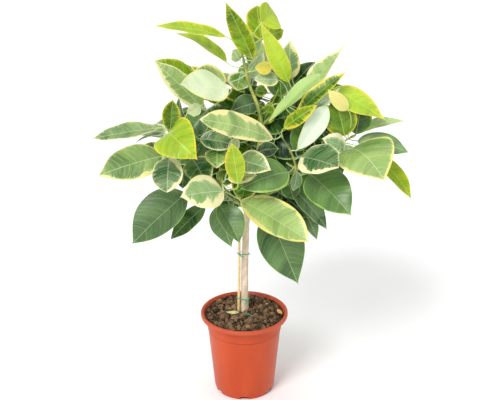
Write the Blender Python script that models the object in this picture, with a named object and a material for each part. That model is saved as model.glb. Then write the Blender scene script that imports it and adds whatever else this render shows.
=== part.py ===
"""Potted ficus tree: a variegated crown on one bare stem, tied to a cane in a round nursery pot.

Metres, +Z up. The origin is the centre of the pot's underside, and the tree's front faces -Y.
Routes and leaf places are lists in centimetres, chosen by hand: a route runs from its root to its end.
"""

import math
from dataclasses import dataclass

import bmesh
import bpy
from mathutils import Vector

CM = 0.01
MM = 0.001
GAP = 0.3 * MM

# Pot, as radii and heights of its turned wall
POT_HEIGHT = 210 * MM
POT_SIDES = 48
POT_WALL = 1.8 * MM
LIP_RADIUS = 106.5 * MM
LIP_HEIGHT = 10.5 * MM
FLARE_DEPTH = 17 * MM  # from the top down to where the wall starts to widen into the lip
COLLAR_RADIUS = 93.5 * MM
COLLAR_DEPTH = 42 * MM
COLLAR_FOOT_RADIUS = 89 * MM
WAIST_RADIUS = 85.5 * MM
WAIST_Z = 130 * MM
HEEL_RADIUS = 73.6 * MM
HEEL_Z = 9 * MM
FOOT_RADIUS = 71 * MM
DRAIN_SLOTS = 6
DRAIN_WIDTH = 20 * MM
DRAIN_HEIGHT = 8 * MM

# Soil
SOIL_EDGE_Z = 197 * MM
SOIL_CROWN_Z = 203 * MM

# Stem, cane and ties
STEM_RADIUS = 9.3 * MM
CANE_RADIUS = 3.5 * MM
TIE_RADIUS = 0.7 * MM
TIE_GAP = 0.6 * MM

# Leaves
STALK_THICK = 2.6 * MM
BLADE_SHARE = 0.4  # a blade's thickness, as a share of its stalk's
STALK_ROWS = 3
BLADE_ROWS = 9
BASE_ROUNDNESS = 0.7  # lower is a rounder leaf base

FALLEN_PLACE = (-3, -1.2, 20.5)  # centimetres
FALLEN_LENGTH = 32 * MM
FALLEN_SLIMNESS = 0.3

TRUNK = [(0.1, 1.2, 14), (0.1, 1.2, 22), (0.1, 1.2, 30), (0.3, 1.2, 38), (0.6, 1, 46), (1, 0.5, 54)]
CANE = [(-1.5, 0.9, 11), (-1.4, 0.8, 20), (-1.2, 0.6, 34), (-1.1, 0.3, 46)]
TRUNK_TAPER = 0.81

# name: (radius at the root in mm, route)
BRANCHES = {
    "branch_top": (5, [(1.3, 0.1, 54.6), (3, -1.5, 63), (4, -3, 71), (3, -3, 76), (1.4, -1, 79.5),
                       (0.4, 0, 83), (-0.3, 0, 87)]),
    "branch_front": (4, [(0.2, -0.9, 50), (-1, -5, 52), (-3.5, -9, 55.5), (-4.6, -12, 58.6),
                         (-4.8, -12.6, 61)]),
    "branch_right": (4.5, [(1.9, 0.2, 51), (7, -1.5, 56), (14, -3, 61), (20, -4, 65), (24, -5, 68.5)]),
    "branch_left": (4.5, [(-0.7, 1, 49), (-5, 0, 54), (-11, -2.5, 61), (-15.5, -4.5, 67), (-17.5, -5, 71)]),
    "branch_front_right": (4, [(1.7, -0.7, 52), (6, -4, 54.5), (10, -7, 58), (11.8, -8, 62), (10.5, -9, 67),
                               (8, -10, 71.5)]),
    "branch_upper_left": (3.5, [(2.3, -0.9, 62.5), (-2, -1.5, 66), (-6, -3, 70), (-9.5, -4, 75)]),
    "branch_upper_right": (3, [(4.8, -2.8, 71.5), (8, -2.6, 74.5), (12, -2, 77), (17, -1, 79)]),
    "branch_back": (4.5, [(0.8, 2, 50.5), (0, 6, 55), (-1, 11, 61), (0, 14.5, 67), (1, 15.5, 73)]),
}


@dataclass(frozen=True)
class Leaf:
    """One leaf, in centimetres: where it leaves its branch, where its blade runs and how it is turned."""

    branch: str
    at: float  # share of the branch's length
    base: tuple
    tip: tuple
    face: tuple  # where the upper side looks
    width: float
    fold: float  # degrees that each half rises from flat
    arch: float  # height of the midrib's bow, as a share of the blade's length
    point: float = 0.9  # higher is a more drawn-out tip


LEAVES = {
    "leaf_top_1": Leaf("branch_top", 0.99, (-4, 0, 91), (-20.2, -2, 94.1), (0, -2, 5), 4.2, 12, 0.045),
    "leaf_top_2": Leaf("branch_top", 0.9, (-4, 3, 84), (-16, 6, 90), (0, 0, 1), 6.5, 12, 0.08),
    "leaf_top_3": Leaf("branch_top", 0.96, (2, -2, 86.5), (-4.1, -6, 101), (-1, -3, 0), 5, 12, -0.02, 1.1),
    "leaf_top_4": Leaf("branch_top", 0.86, (4, 4, 88.8), (3, 9, 95.7), (1, -3, 1), 6.6, 15, -0.03, 0.6),
    "leaf_top_5": Leaf("branch_top", 0.98, (4, -2.2, 94.8), (7, 4.8, 95.2), (1, -1, 1), 6.8, 15, 0.05),
    "leaf_top_6": Leaf(
        "branch_upper_right", 0.6, (10.1, -5, 82), (3.3, -6, 96.9), (1, -4, 1), 4.4, 8, 0, 1.3
    ),
    "leaf_upper_1": Leaf(
        "branch_upper_left", 0.97, (-3.5, -6, 80.8), (-14, -12, 84), (0, -3, 5), 9.6, 8, -0.02, 1
    ),
    "leaf_upper_2": Leaf(
        "branch_upper_left", 0.99, (-9.2, 0, 73.6), (-20.5, 2, 84.7), (0, -1, 1), 5.6, 12, 0.03
    ),
    "leaf_upper_3": Leaf(
        "branch_front_right", 0.98, (6.5, -12, 71.1), (-9.5, -18, 78), (0, -1, 1), 6.4, 10, 0.07, 0.5
    ),
    "leaf_upper_4": Leaf(
        "branch_upper_right", 0.2, (6.2, -8, 74.2), (17, -9, 85.3), (-1, 2, 1), 4.4, 12, 0.02, 0.4
    ),
    "leaf_upper_5": Leaf(
        "branch_upper_right", 0.4, (12, -5, 74.4), (23.1, -3, 83.8), (0, -1, 2), 3.9, 20, 0.03
    ),
    "leaf_upper_6": Leaf(
        "branch_upper_right", 0.9, (15.2, 2, 78.2), (24, 4, 89), (-1, -1, 1), 5.4, 25, 0, 2
    ),
    "leaf_left_1": Leaf("branch_left", 0.97, (-20, 0, 69), (-35.4, -2, 67), (0, -1, 4), 6.2, 10, 0.02, 1),
    "leaf_left_2": Leaf("branch_left", 0.8, (-18.4, -5, 64.1), (-33, -12, 62), (0, -1, 1), 8.8, 10, 0.06),
    "leaf_left_3": Leaf("branch_left", 0.93, (-17, -8, 71), (-10.1, -18, 68.5), (-6, -3, 8), 10, 10, 0.25),
    "leaf_left_4": Leaf(
        "branch_left", 0.99, (-16.7, -6, 70.8), (-15.9, -7, 78.5), (0, -1, 0), 4.1, 22, 0, 0.6
    ),
    "leaf_left_5": Leaf(
        "branch_left", 0.7, (-16.9, -9, 65.4), (-17, -18, 60.7), (0, -1, 1), 6.9, 12, 0.1, 0.4
    ),
    "leaf_left_6": Leaf(
        "branch_left", 0.6, (-11.8, -5, 63.3), (-8, -12.5, 59.5), (0, -1, 1), 6.6, 12, 0.12
    ),
    "leaf_left_7": Leaf(
        "branch_left", 0.4, (-13.4, -6, 55.2), (-25.8, -12, 45), (-3, -8, 7), 10.6, 20, 0.03
    ),
    "leaf_left_8": Leaf(
        "branch_left", 0.3, (-9.1, -4, 51.2), (-17.2, -8, 44.2), (-1, -2, 1), 4.6, 10, 0.04
    ),
    "leaf_front_1": Leaf(
        "branch_front", 0.96, (-1.3, -18, 62.9), (-2.6, -19, 72.9), (0, -1, 0), 4.4, 15, -0.03, 0.8
    ),
    "leaf_front_2": Leaf("branch_front", 0.99, (-1.5, -12, 66), (6.1, -17, 65.6), (0, -1, 1), 6, 10, 0.08),
    "leaf_front_3": Leaf(
        "branch_front_right", 0.65, (10.1, -10, 62.2), (-0.8, -15, 60.1), (0, -1, 1), 8.2, 10, 0.14
    ),
    "leaf_front_4": Leaf(
        "branch_front", 0.93, (-4.6, -14, 59.2), (-14, -20, 60.5), (0, -1, 1), 8.4, 6, 0.06
    ),
    "leaf_front_5": Leaf(
        "branch_front", 0.5, (-6, -6, 52), (-2.8, -10, 43), (-1, -3, 1), 6.4, 10, 0.03, 1.2
    ),
    "leaf_front_6": Leaf(
        "branch_front", 0.65, (-5.6, -11, 54.4), (-1, -16, 47.2), (5, -8, 6), 6.4, 30, 0.05
    ),
    "leaf_front_7": Leaf(
        "branch_front", 0.8, (-0.6, -10, 55.2), (14.5, -22, 50.5), (2, -8, 7), 8.5, 20, 0.04, 0.6
    ),
    "leaf_front_8": Leaf(
        "branch_front_right", 0.2, (5.5, -8, 51.5), (12.6, -14, 35.6), (0.2, -3, 1), 10.6, 8, 0.05, 1.05
    ),
    "leaf_right_1": Leaf(
        "branch_upper_right", 0.97, (20.4, 0, 78.7), (32.1, -8, 73.9), (0, -1, 2), 7.2, 3, 0.02, 1.3
    ),
    "leaf_right_2": Leaf("branch_right", 0.92, (27.5, 1, 68), (38, -1, 71), (0, -1, 3), 3.8, 12, 0.1, 1.5),
    "leaf_right_3": Leaf("branch_right", 0.99, (26.2, -2, 66.6), (38, -4, 64.5), (0, -2, 3), 5.8, 12, 0.08),
    "leaf_right_4": Leaf(
        "branch_right", 0.95, (30.6, -6, 64.3), (38.3, -10, 55.5), (1, -2, 2), 4.4, 12, 0.08
    ),
    "leaf_right_5": Leaf(
        "branch_right", 0.88, (24.5, -6, 66.3), (31, -21, 64.6), (-4, -10, 24), 13.8, 8, 0.14
    ),
    "leaf_right_6": Leaf(
        "branch_front_right", 0.72, (12.9, -10, 65.9), (20.8, -20, 67.5), (0, -1, 1), 8.8, 8, 0.05, 0.65
    ),
    "leaf_right_7": Leaf(
        "branch_front_right", 0.5, (15.1, -8, 60.8), (24, -18, 55), (0, -1, 1), 10, 10, 0.1
    ),
    "leaf_right_8": Leaf(
        "branch_front_right", 0.8, (12.3, -8, 67), (18.9, -4, 76), (0, -1, 0), 4.8, 10, 0.05, 0.45
    ),
    "leaf_right_9": Leaf("branch_right", 0.35, (11, -4, 56), (19.3, -8, 46.8), (1, -1, 1), 6, 12, 0.05),
    "leaf_back_1": Leaf("branch_back", 0.3, (-6, 12, 53), (-15, 22, 47), (-1, 1, 2), 9, 10, 0.1),
    "leaf_back_2": Leaf("branch_back", 0.4, (7, 13, 54), (17, 22, 47), (1, 1, 2), 9, 10, 0.1),
    "leaf_back_3": Leaf("branch_back", 0.7, (-4, 18, 63), (-14, 29, 60), (-1, 1, 2), 9, 10, 0.1),
    "leaf_back_4": Leaf("branch_back", 0.8, (6, 18, 65), (15, 29, 62), (1, 1, 2), 9, 10, 0.1),
    "leaf_back_5": Leaf("branch_back", 0.97, (0, 20, 71), (-3, 31, 69), (0, 0, 1), 8, 12, 0.1),
    "leaf_back_6": Leaf("branch_left", 0.85, (-19, 4, 65), (-28, 15, 61), (-1, 1, 2), 8.5, 10, 0.1),
    "leaf_back_7": Leaf("branch_right", 0.8, (20, 4, 67), (29, 16, 64), (1, 1, 2), 8.5, 10, 0.1),
}


def clear_scene():
    for obj in list(bpy.data.objects):
        bpy.data.objects.remove(obj, do_unlink=True)


def make_material(name, colour, roughness, metallic=0.0):
    material = bpy.data.materials.new(name)
    material.use_nodes = True
    shader = material.node_tree.nodes["Principled BSDF"]
    shader.inputs["Base Color"].default_value = (*colour, 1)
    shader.inputs["Roughness"].default_value = roughness
    shader.inputs["Metallic"].default_value = metallic
    return material


def add_object(name, data, material):
    obj = bpy.data.objects.new(name, data)
    data.materials.append(material)
    bpy.context.scene.collection.objects.link(obj)
    return obj


def mesh_from(name, bm):
    mesh = bpy.data.meshes.new(name)
    bm.to_mesh(mesh)
    bm.free()
    mesh.shade_smooth()
    mesh.set_sharp_from_angle(angle=math.radians(35))
    return mesh


def smooth_route(points, steps):
    """Points in metres along a Catmull-Rom curve through a route in centimetres."""
    knots = [Vector(point) * CM for point in points]
    knots = [2 * knots[0] - knots[1], *knots, 2 * knots[-1] - knots[-2]]
    route = []
    for a, b, c, d in zip(knots, knots[1:], knots[2:], knots[3:]):
        for step in range(steps):
            t = step / steps
            route.append(
                0.5 * (2 * b + (c - a) * t + (2 * a - 5 * b + 4 * c - d) * t**2
                       + (3 * b - a - 3 * c + d) * t**3)
            )
    return [*route, knots[-2]]


def point_along(route, share):
    """The point and the direction at a share of a route's length."""
    lengths = [(b - a).length for a, b in zip(route, route[1:])]
    left = share * sum(lengths)
    for a, b, length in zip(route, route[1:], lengths):
        if left <= length:
            return a.lerp(b, left / length), (b - a).normalized()
        left -= length
    return route[-1], (route[-1] - route[-2]).normalized()


def make_rod(name, route, radius, taper, material, cyclic=False, sides=2):
    """A round rod along a route, as a bevelled curve with filled ends."""
    curve = bpy.data.curves.new(name, "CURVE")
    curve.dimensions = "3D"
    curve.bevel_depth = radius
    curve.bevel_resolution = sides
    curve.use_fill_caps = not cyclic
    spline = curve.splines.new("POLY")
    spline.points.add(len(route) - 1)
    for index, (knot, point) in enumerate(zip(spline.points, route)):
        knot.co = (*point, 1)
        knot.radius = 1 + (taper - 1) * index / (len(route) - 1)
    spline.use_cyclic_u = cyclic
    return add_object(name, curve, material)


def spin_profile(profile, sides):
    """A closed body turned about the Z axis from its half section, which starts and ends on the axis."""
    bm = bmesh.new()
    verts = [bm.verts.new((radius, 0, z)) for radius, z in profile]
    edges = [bm.edges.new(pair) for pair in zip(verts, verts[1:])]
    bmesh.ops.spin(
        bm, geom=verts + edges, axis=(0, 0, 1), cent=(0, 0, 0), steps=sides, angle=math.tau,
        use_merge=True,
    )
    bmesh.ops.remove_doubles(bm, verts=bm.verts, dist=1e-6)
    bmesh.ops.recalc_face_normals(bm, faces=bm.faces)
    return bm


def wall_radius(z):
    """The outer radius of the pot's wall at a height, down its three straight tapers."""
    tapers = [
        (HEEL_Z, HEEL_RADIUS),
        (WAIST_Z, WAIST_RADIUS),
        (POT_HEIGHT - COLLAR_DEPTH, COLLAR_FOOT_RADIUS),
        (POT_HEIGHT, COLLAR_RADIUS),
    ]
    for (low, low_radius), (high, high_radius) in zip(tapers, tapers[1:]):
        if z <= high:
            return low_radius + (high_radius - low_radius) * (z - low) / (high - low)
    return COLLAR_RADIUS


def cut(obj, cutters):
    """Takes hidden cutters out of an object."""
    for index, cutter in enumerate(cutters):
        cutter.hide_render = True
        cutter.display_type = "WIRE"
        modifier = obj.modifiers.new(f"cut_{index}", "BOOLEAN")
        modifier.object = cutter
        modifier.operation = "DIFFERENCE"
        modifier.solver = "EXACT"


def build_pot():
    lip_z = POT_HEIGHT - LIP_HEIGHT
    collar_z = POT_HEIGHT - COLLAR_DEPTH
    flare_z = POT_HEIGHT - FLARE_DEPTH
    edge = 2.5 * MM
    ridge = 1.2 * MM
    inside = [(wall_radius(z) - POT_WALL, z) for z in (HEEL_Z, WAIST_Z, collar_z, flare_z)]
    profile = [
        (0, 0),
        (FOOT_RADIUS - 2 * MM, 0),
        (FOOT_RADIUS, 2 * MM),
        (FOOT_RADIUS, HEEL_Z - 1 * MM),
        (HEEL_RADIUS, HEEL_Z),
        (WAIST_RADIUS, WAIST_Z),
        (wall_radius(collar_z), collar_z),
        (wall_radius(collar_z) + ridge, collar_z + ridge),
        (wall_radius(flare_z), flare_z),
        (COLLAR_RADIUS + 3 * MM, lip_z),
        (LIP_RADIUS - edge, lip_z),
        (LIP_RADIUS, lip_z + edge),
        (LIP_RADIUS, POT_HEIGHT - edge),
        (LIP_RADIUS - edge, POT_HEIGHT),
        (LIP_RADIUS - 2 * edge, POT_HEIGHT),
        (LIP_RADIUS - 2.8 * edge, POT_HEIGHT - edge),
        (COLLAR_RADIUS + 2 * MM, lip_z + 1.5 * MM),
        *reversed(inside),
        (FOOT_RADIUS - POT_WALL, HEEL_Z - 1 * MM),
        (FOOT_RADIUS - POT_WALL, POT_WALL),
        (0, POT_WALL),
    ]
    plastic = make_material("terracotta plastic", (0.68, 0.12, 0.05), 0.45)
    pot = add_object("pot", mesh_from("pot", spin_profile(profile, POT_SIDES)), plastic)
    cutters = []
    for index in range(DRAIN_SLOTS):
        bm = bmesh.new()
        bmesh.ops.create_cube(bm, size=1)
        bmesh.ops.scale(bm, vec=(12 * MM, DRAIN_WIDTH, 2 * DRAIN_HEIGHT), verts=bm.verts)
        cutter = add_object(f"drain_cutter_{index}", mesh_from("drain_cutter", bm), plastic)
        angle = math.tau * index / DRAIN_SLOTS - math.pi / 2
        cutter.location = (FOOT_RADIUS * math.cos(angle), FOOT_RADIUS * math.sin(angle), 0)
        cutter.rotation_euler.z = angle
        cutters.append(cutter)
    cut(pot, cutters)


def build_soil(trunk_route, cane_route):
    collar_z = POT_HEIGHT - COLLAR_DEPTH
    flare_z = POT_HEIGHT - FLARE_DEPTH
    bore = POT_WALL + GAP
    floor_z = POT_WALL + GAP
    profile = [
        (0, floor_z),
        (FOOT_RADIUS - bore, floor_z),
        (FOOT_RADIUS - bore, HEEL_Z - 1 * MM),
        (HEEL_RADIUS - bore, HEEL_Z + GAP),
        (WAIST_RADIUS - bore, WAIST_Z),
        (wall_radius(collar_z) - bore, collar_z),
        (wall_radius(flare_z) - bore, flare_z),
        (wall_radius(SOIL_EDGE_Z) - 1 * MM, SOIL_EDGE_Z),
        (0.6 * COLLAR_RADIUS, SOIL_EDGE_Z + 2 * MM),
        (0.25 * COLLAR_RADIUS, SOIL_CROWN_Z),
        (0, SOIL_CROWN_Z),
    ]
    earth = make_material("potting soil", (0.09, 0.05, 0.03), 0.95)
    soil = add_object("soil", mesh_from("soil", spin_profile(profile, POT_SIDES)), earth)
    holes = []
    for name, route, radius in (("stem", trunk_route, STEM_RADIUS), ("cane", cane_route, CANE_RADIUS)):
        bm = bmesh.new()
        bmesh.ops.create_cone(
            bm, segments=16, radius1=radius + 5 * GAP, radius2=radius + 5 * GAP, depth=POT_HEIGHT,
            cap_ends=True,
        )
        hole = add_object(f"{name}_cutter", mesh_from(name, bm), earth)
        hole.location = route[0] + Vector((0, 0, POT_HEIGHT / 2 - 2 * GAP))
        holes.append(hole)
    cut(soil, holes)


def build_wood():
    """The stem, its branches and the cane. Returns the routes that the leaves grow on."""
    bark = make_material("bark", (0.55, 0.42, 0.27), 0.75)
    green_bark = make_material("green bark", (0.28, 0.3, 0.1), 0.6)
    trunk = smooth_route(TRUNK, 3)
    cane = smooth_route(CANE, 3)
    make_rod("trunk", trunk, STEM_RADIUS, TRUNK_TAPER, bark, sides=3)
    make_rod("cane", cane, CANE_RADIUS, 0.85, make_material("bamboo", (0.78, 0.58, 0.28), 0.5))
    routes = {}
    for name, (radius, points) in BRANCHES.items():
        routes[name] = smooth_route(points, 3)
        make_rod(name, routes[name], radius * MM, 0.4, green_bark)
    return trunk, cane, routes


def tie_route(trunk, cane, z, lift):
    """A slack loop round the stem and the cane: half rings about each, joined by straight runs."""
    stem = min(trunk, key=lambda point: abs(point.z - z)).copy()
    stick = min(cane, key=lambda point: abs(point.z - z)).copy()
    stem.z = stick.z = z
    across = (stick - stem).normalized()
    side = Vector((0, 0, 1)).cross(across)
    loop = []
    for centre, radius, start in ((stem, STEM_RADIUS, math.pi / 2), (stick, CANE_RADIUS, -math.pi / 2)):
        reach = radius + TIE_RADIUS + TIE_GAP
        for step in range(7):
            angle = start + math.pi * step / 6
            point = centre + reach * (math.cos(angle) * across + math.sin(angle) * side)
            point.z += lift * (point - stem).dot(across)
            loop.append(point)
    return loop


def build_ties(trunk, cane):
    wire = make_material("green tie wire", (0.05, 0.35, 0.25), 0.4)
    make_rod("tie_upper", tie_route(trunk, cane, 0.362, 0.15), TIE_RADIUS, 1, wire, cyclic=True, sides=1)
    make_rod("tie_lower", tie_route(trunk, cane, 0.24, 0.2), TIE_RADIUS, 1, wire, cyclic=True, sides=1)
    scrap = [(0.2, -1, 20.7), (1, -1.6, 20.6), (2, -2.3, 20.5), (2.8, -2.6, 20.4)]
    make_rod("tie_scrap", smooth_route(scrap, 2), TIE_RADIUS, 1, wire, sides=1)


def blade_half_width(share, point):
    """Half of a blade's width at a share of its length, for a blade 1 wide: round base, pointed tip."""
    widest = BASE_ROUNDNESS / (BASE_ROUNDNESS + point)
    rise = (share / widest) ** BASE_ROUNDNESS
    return 0.5 * rise * ((1 - share) / (1 - widest)) ** point


def bow(a, b, c, t):
    """The point and the direction at t on a curve from a to c that b pulls to itself."""
    point = (1 - t) ** 2 * a + 2 * t * (1 - t) * b + t**2 * c
    return point, ((1 - t) * (b - a) + t * (c - b)).normalized()


def leaf_rows(leaf, foot):
    """Each row's centre, direction and half width, from the stalk's foot to the blade's tip."""
    base, tip = Vector(leaf.base) * CM, Vector(leaf.tip) * CM
    chord = tip - base
    face = Vector(leaf.face).normalized()
    lift = face - face.project(chord)
    crest = (base + tip) / 2 + lift.normalized() * leaf.arch * chord.length * 2
    bend = base - (crest - base).normalized() * 0.4 * (base - foot).length
    rows = []
    for row in range(STALK_ROWS):
        rows.append((*bow(foot, bend, base, row / STALK_ROWS), STALK_THICK / 2))
    for row in range(BLADE_ROWS + 1):
        share = 0.5 - 0.5 * math.cos(math.pi * row / BLADE_ROWS)
        half = leaf.width * CM * blade_half_width(share, leaf.point)
        rows.append((*bow(base, crest, tip, share), max(half, STALK_THICK * 0.35)))
    return rows


def leaf_mesh(name, leaf, foot):
    """A grid laid along the stalk and the blade, folded along the midrib. Solidify gives it a body."""
    rows = leaf_rows(leaf, foot)
    bm = bmesh.new()
    bmesh.ops.create_grid(bm, x_segments=2, y_segments=len(rows) - 1, size=0.5)
    weights = bm.verts.layers.deform.new()
    rise = math.tan(math.radians(leaf.fold))
    face = Vector(leaf.face).normalized()
    for vert in bm.verts:
        across = 2 * vert.co.x
        row = round((vert.co.y + 0.5) * (len(rows) - 1))
        centre, along, half = rows[row]
        up = (face - face.project(along)).normalized()
        on_blade = row > STALK_ROWS
        vert.co = centre + half * (across * along.cross(up) + on_blade * abs(across) * rise * up)
        vert[weights][0] = 0.0 if on_blade else 1.0
    return mesh_from(name, bm)


def build_leaf(name, leaf, route, branch_radius, material):
    point, along = point_along(route, leaf.at)
    towards = Vector(leaf.base) * CM - point
    out = (towards - towards.project(along)).normalized()
    foot = point + out * (branch_radius + STALK_THICK)
    obj = add_object(name, leaf_mesh(name, leaf, foot), material)
    obj.vertex_groups.new(name="stalk")
    solidify = obj.modifiers.new("thickness", "SOLIDIFY")
    solidify.thickness = STALK_THICK
    solidify.offset = 0
    solidify.vertex_group = "stalk"
    solidify.thickness_vertex_group = BLADE_SHARE


def build_leaves(routes):
    green = make_material("variegated leaf", (0.3, 0.5, 0.12), 0.4)
    for name, leaf in LEAVES.items():
        radius = BRANCHES[leaf.branch][0] * MM * (1 - 0.6 * leaf.at)
        build_leaf(name, leaf, routes[leaf.branch], radius, green)


def build_fallen_leaf():
    """A dry blade lying on the soil beside the cane, a thin pointed oval."""
    bm = bmesh.new()
    bmesh.ops.create_circle(bm, cap_ends=True, segments=10, radius=FALLEN_LENGTH / 2)
    bmesh.ops.scale(bm, vec=(1, FALLEN_SLIMNESS, 1), verts=bm.verts)
    dry = make_material("dry leaf", (0.7, 0.66, 0.35), 0.7)
    obj = add_object("fallen_leaf", mesh_from("fallen_leaf", bm), dry)
    obj.location = Vector(FALLEN_PLACE) * CM
    obj.rotation_euler.z = math.radians(6)
    solidify = obj.modifiers.new("thickness", "SOLIDIFY")
    solidify.thickness = 1 * MM
    solidify.offset = 0


def main():
    clear_scene()
    trunk, cane, routes = build_wood()
    build_pot()
    build_soil(trunk, cane)
    build_ties(trunk, cane)
    build_leaves(routes)
    build_fallen_leaf()


if __name__ == "__main__":
    main()
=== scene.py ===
"""Looks for the potted ficus tree: its leaves, wood, ties, soil and pot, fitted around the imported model.

Metres, +Z up, with the tree's front facing -Y. Routes and leaf places are in centimetres and repeat
the part's own, and colour patterns on the leaves are measured in millimetres of leaf.
"""

import logging
import math
import random
from dataclasses import dataclass
from enum import Enum
from typing import Any, Iterable, Sequence

import bmesh
import bpy
from mathutils import Matrix, Quaternion, Vector, noise
from mathutils.bvhtree import BVHTree


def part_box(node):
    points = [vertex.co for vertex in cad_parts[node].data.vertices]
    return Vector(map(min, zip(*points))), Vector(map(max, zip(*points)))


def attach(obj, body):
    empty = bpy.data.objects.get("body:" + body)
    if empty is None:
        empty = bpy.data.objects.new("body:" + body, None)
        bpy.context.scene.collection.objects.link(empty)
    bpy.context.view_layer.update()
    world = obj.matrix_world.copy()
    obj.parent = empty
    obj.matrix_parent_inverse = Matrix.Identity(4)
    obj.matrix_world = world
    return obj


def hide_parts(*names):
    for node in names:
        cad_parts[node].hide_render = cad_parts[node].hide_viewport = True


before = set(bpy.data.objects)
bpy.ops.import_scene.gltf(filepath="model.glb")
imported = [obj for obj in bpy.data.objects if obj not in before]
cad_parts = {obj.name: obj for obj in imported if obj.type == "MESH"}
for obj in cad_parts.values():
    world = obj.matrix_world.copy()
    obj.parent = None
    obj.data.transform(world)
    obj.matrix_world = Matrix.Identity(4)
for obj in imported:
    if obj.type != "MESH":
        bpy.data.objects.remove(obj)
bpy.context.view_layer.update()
LOG = logging.getLogger("ficus")

CM = 0.01
MM = 0.001
UP = Vector((0, 0, 1))
SHARP_ANGLE = math.radians(38)

Triple = tuple[float, float, float]
Route = list[Vector]
Ring = tuple[Vector, Vector, float]  # centre, direction and radius of a tube


class Slot(Enum):
    """The model's material slots."""

    POT = "pot"
    SOIL = "soil"
    BARK = "bark"
    GREEN_BARK = "green_bark"
    CANE = "cane"
    TIE = "tie"
    DRY_LEAF = "dry_leaf"
    LEAF_LIME = "leaf_lime"
    LEAF_VARIEGATED = "leaf_variegated"
    LEAF_DARK = "leaf_dark"
    LEAF_CREAM = "leaf_cream"


# ---------------------------------------------------------------------------------------------------
# Finishes
# ---------------------------------------------------------------------------------------------------


def linear(hex_colour: str) -> tuple[float, float, float, float]:
    """Turns an sRGB hex colour to a linear one.

    Args:
        hex_colour: Six hex digits after a #.

    Returns:
        Red, green, blue and a full alpha.
    """
    shares = [int(hex_colour[i : i + 2], 16) / 255 for i in (1, 3, 5)]
    red, green, blue = (s / 12.92 if s <= 0.04045 else ((s + 0.055) / 1.055) ** 2.4 for s in shares)
    return red, green, blue, 1.0


# Sockets whose names a Mix node uses more than once: its share, its two colours and what comes out
SHARE, FIRST, SECOND, BLEND = 0, 6, 7, 2

Feeds = dict[Any, Any] | list[Any]


class Recipe:
    """A material being made: its node tree, its main shader and the one way to add to it."""

    def __init__(self, name: str) -> None:
        """Starts a material with an empty Principled shader.

        Args:
            name: The real stuff, in plain words.
        """
        self.material = bpy.data.materials.new(name)
        self.material.use_nodes = True
        self.tree = self.material.node_tree
        self.shader = self.tree.nodes["Principled BSDF"]

    def feed(self, node: bpy.types.Node, feeds: Feeds) -> bpy.types.Node:
        """Fills a node's inputs.

        Args:
            node: The node.
            feeds: For each input's name or number, or for the first inputs in order: a constant, a hex
                colour, a node for its first output, or a node with the name or number of an output.

        Returns:
            The node.
        """
        rows = feeds.items() if isinstance(feeds, dict) else enumerate(feeds)
        for key, value in rows:
            socket = node.inputs[key]
            if isinstance(value, bpy.types.Node):
                value = (value, 0)
            if isinstance(value, tuple) and isinstance(value[0], bpy.types.Node):
                self.tree.links.new(value[0].outputs[value[1]], socket)
            else:
                socket.default_value = linear(value) if isinstance(value, str) else value
        return node

    def add(self, kind: str, feeds: Feeds, **settings: Any) -> bpy.types.Node:
        """Adds a node with its inputs and settings.

        Args:
            kind: The node's type, without its ShaderNode prefix.
            feeds: What its inputs hold, as in feed.
            settings: The node's own properties.

        Returns:
            The new node.
        """
        node = self.tree.nodes.new("ShaderNode" + kind)
        for key, value in settings.items():
            setattr(node, key, value)
        return self.feed(node, feeds)


VEIN_SPACING = 13.0  # mm between a blade's side veins
VEIN_SLOPE = 0.34  # how far a side vein climbs towards the tip for each mm across
VEIN_CURVE = 0.009  # how much more it climbs with each mm across
MIDRIB_HALF = 0.6  # mm, drawn a little wider than the real one so that it shows
SIDE_VEIN_HALF = 0.4  # mm, coarser than the real 0.2 so that it shows
ASH, CHALK, OLIVE = "#2f4436", "#c6cfb6", "#fff4a2"  # greys that a green fades to, and an olive cast
LAYERS = ("span", "look", "seat")  # what each point of a leaf carries, three numbers in each


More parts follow.
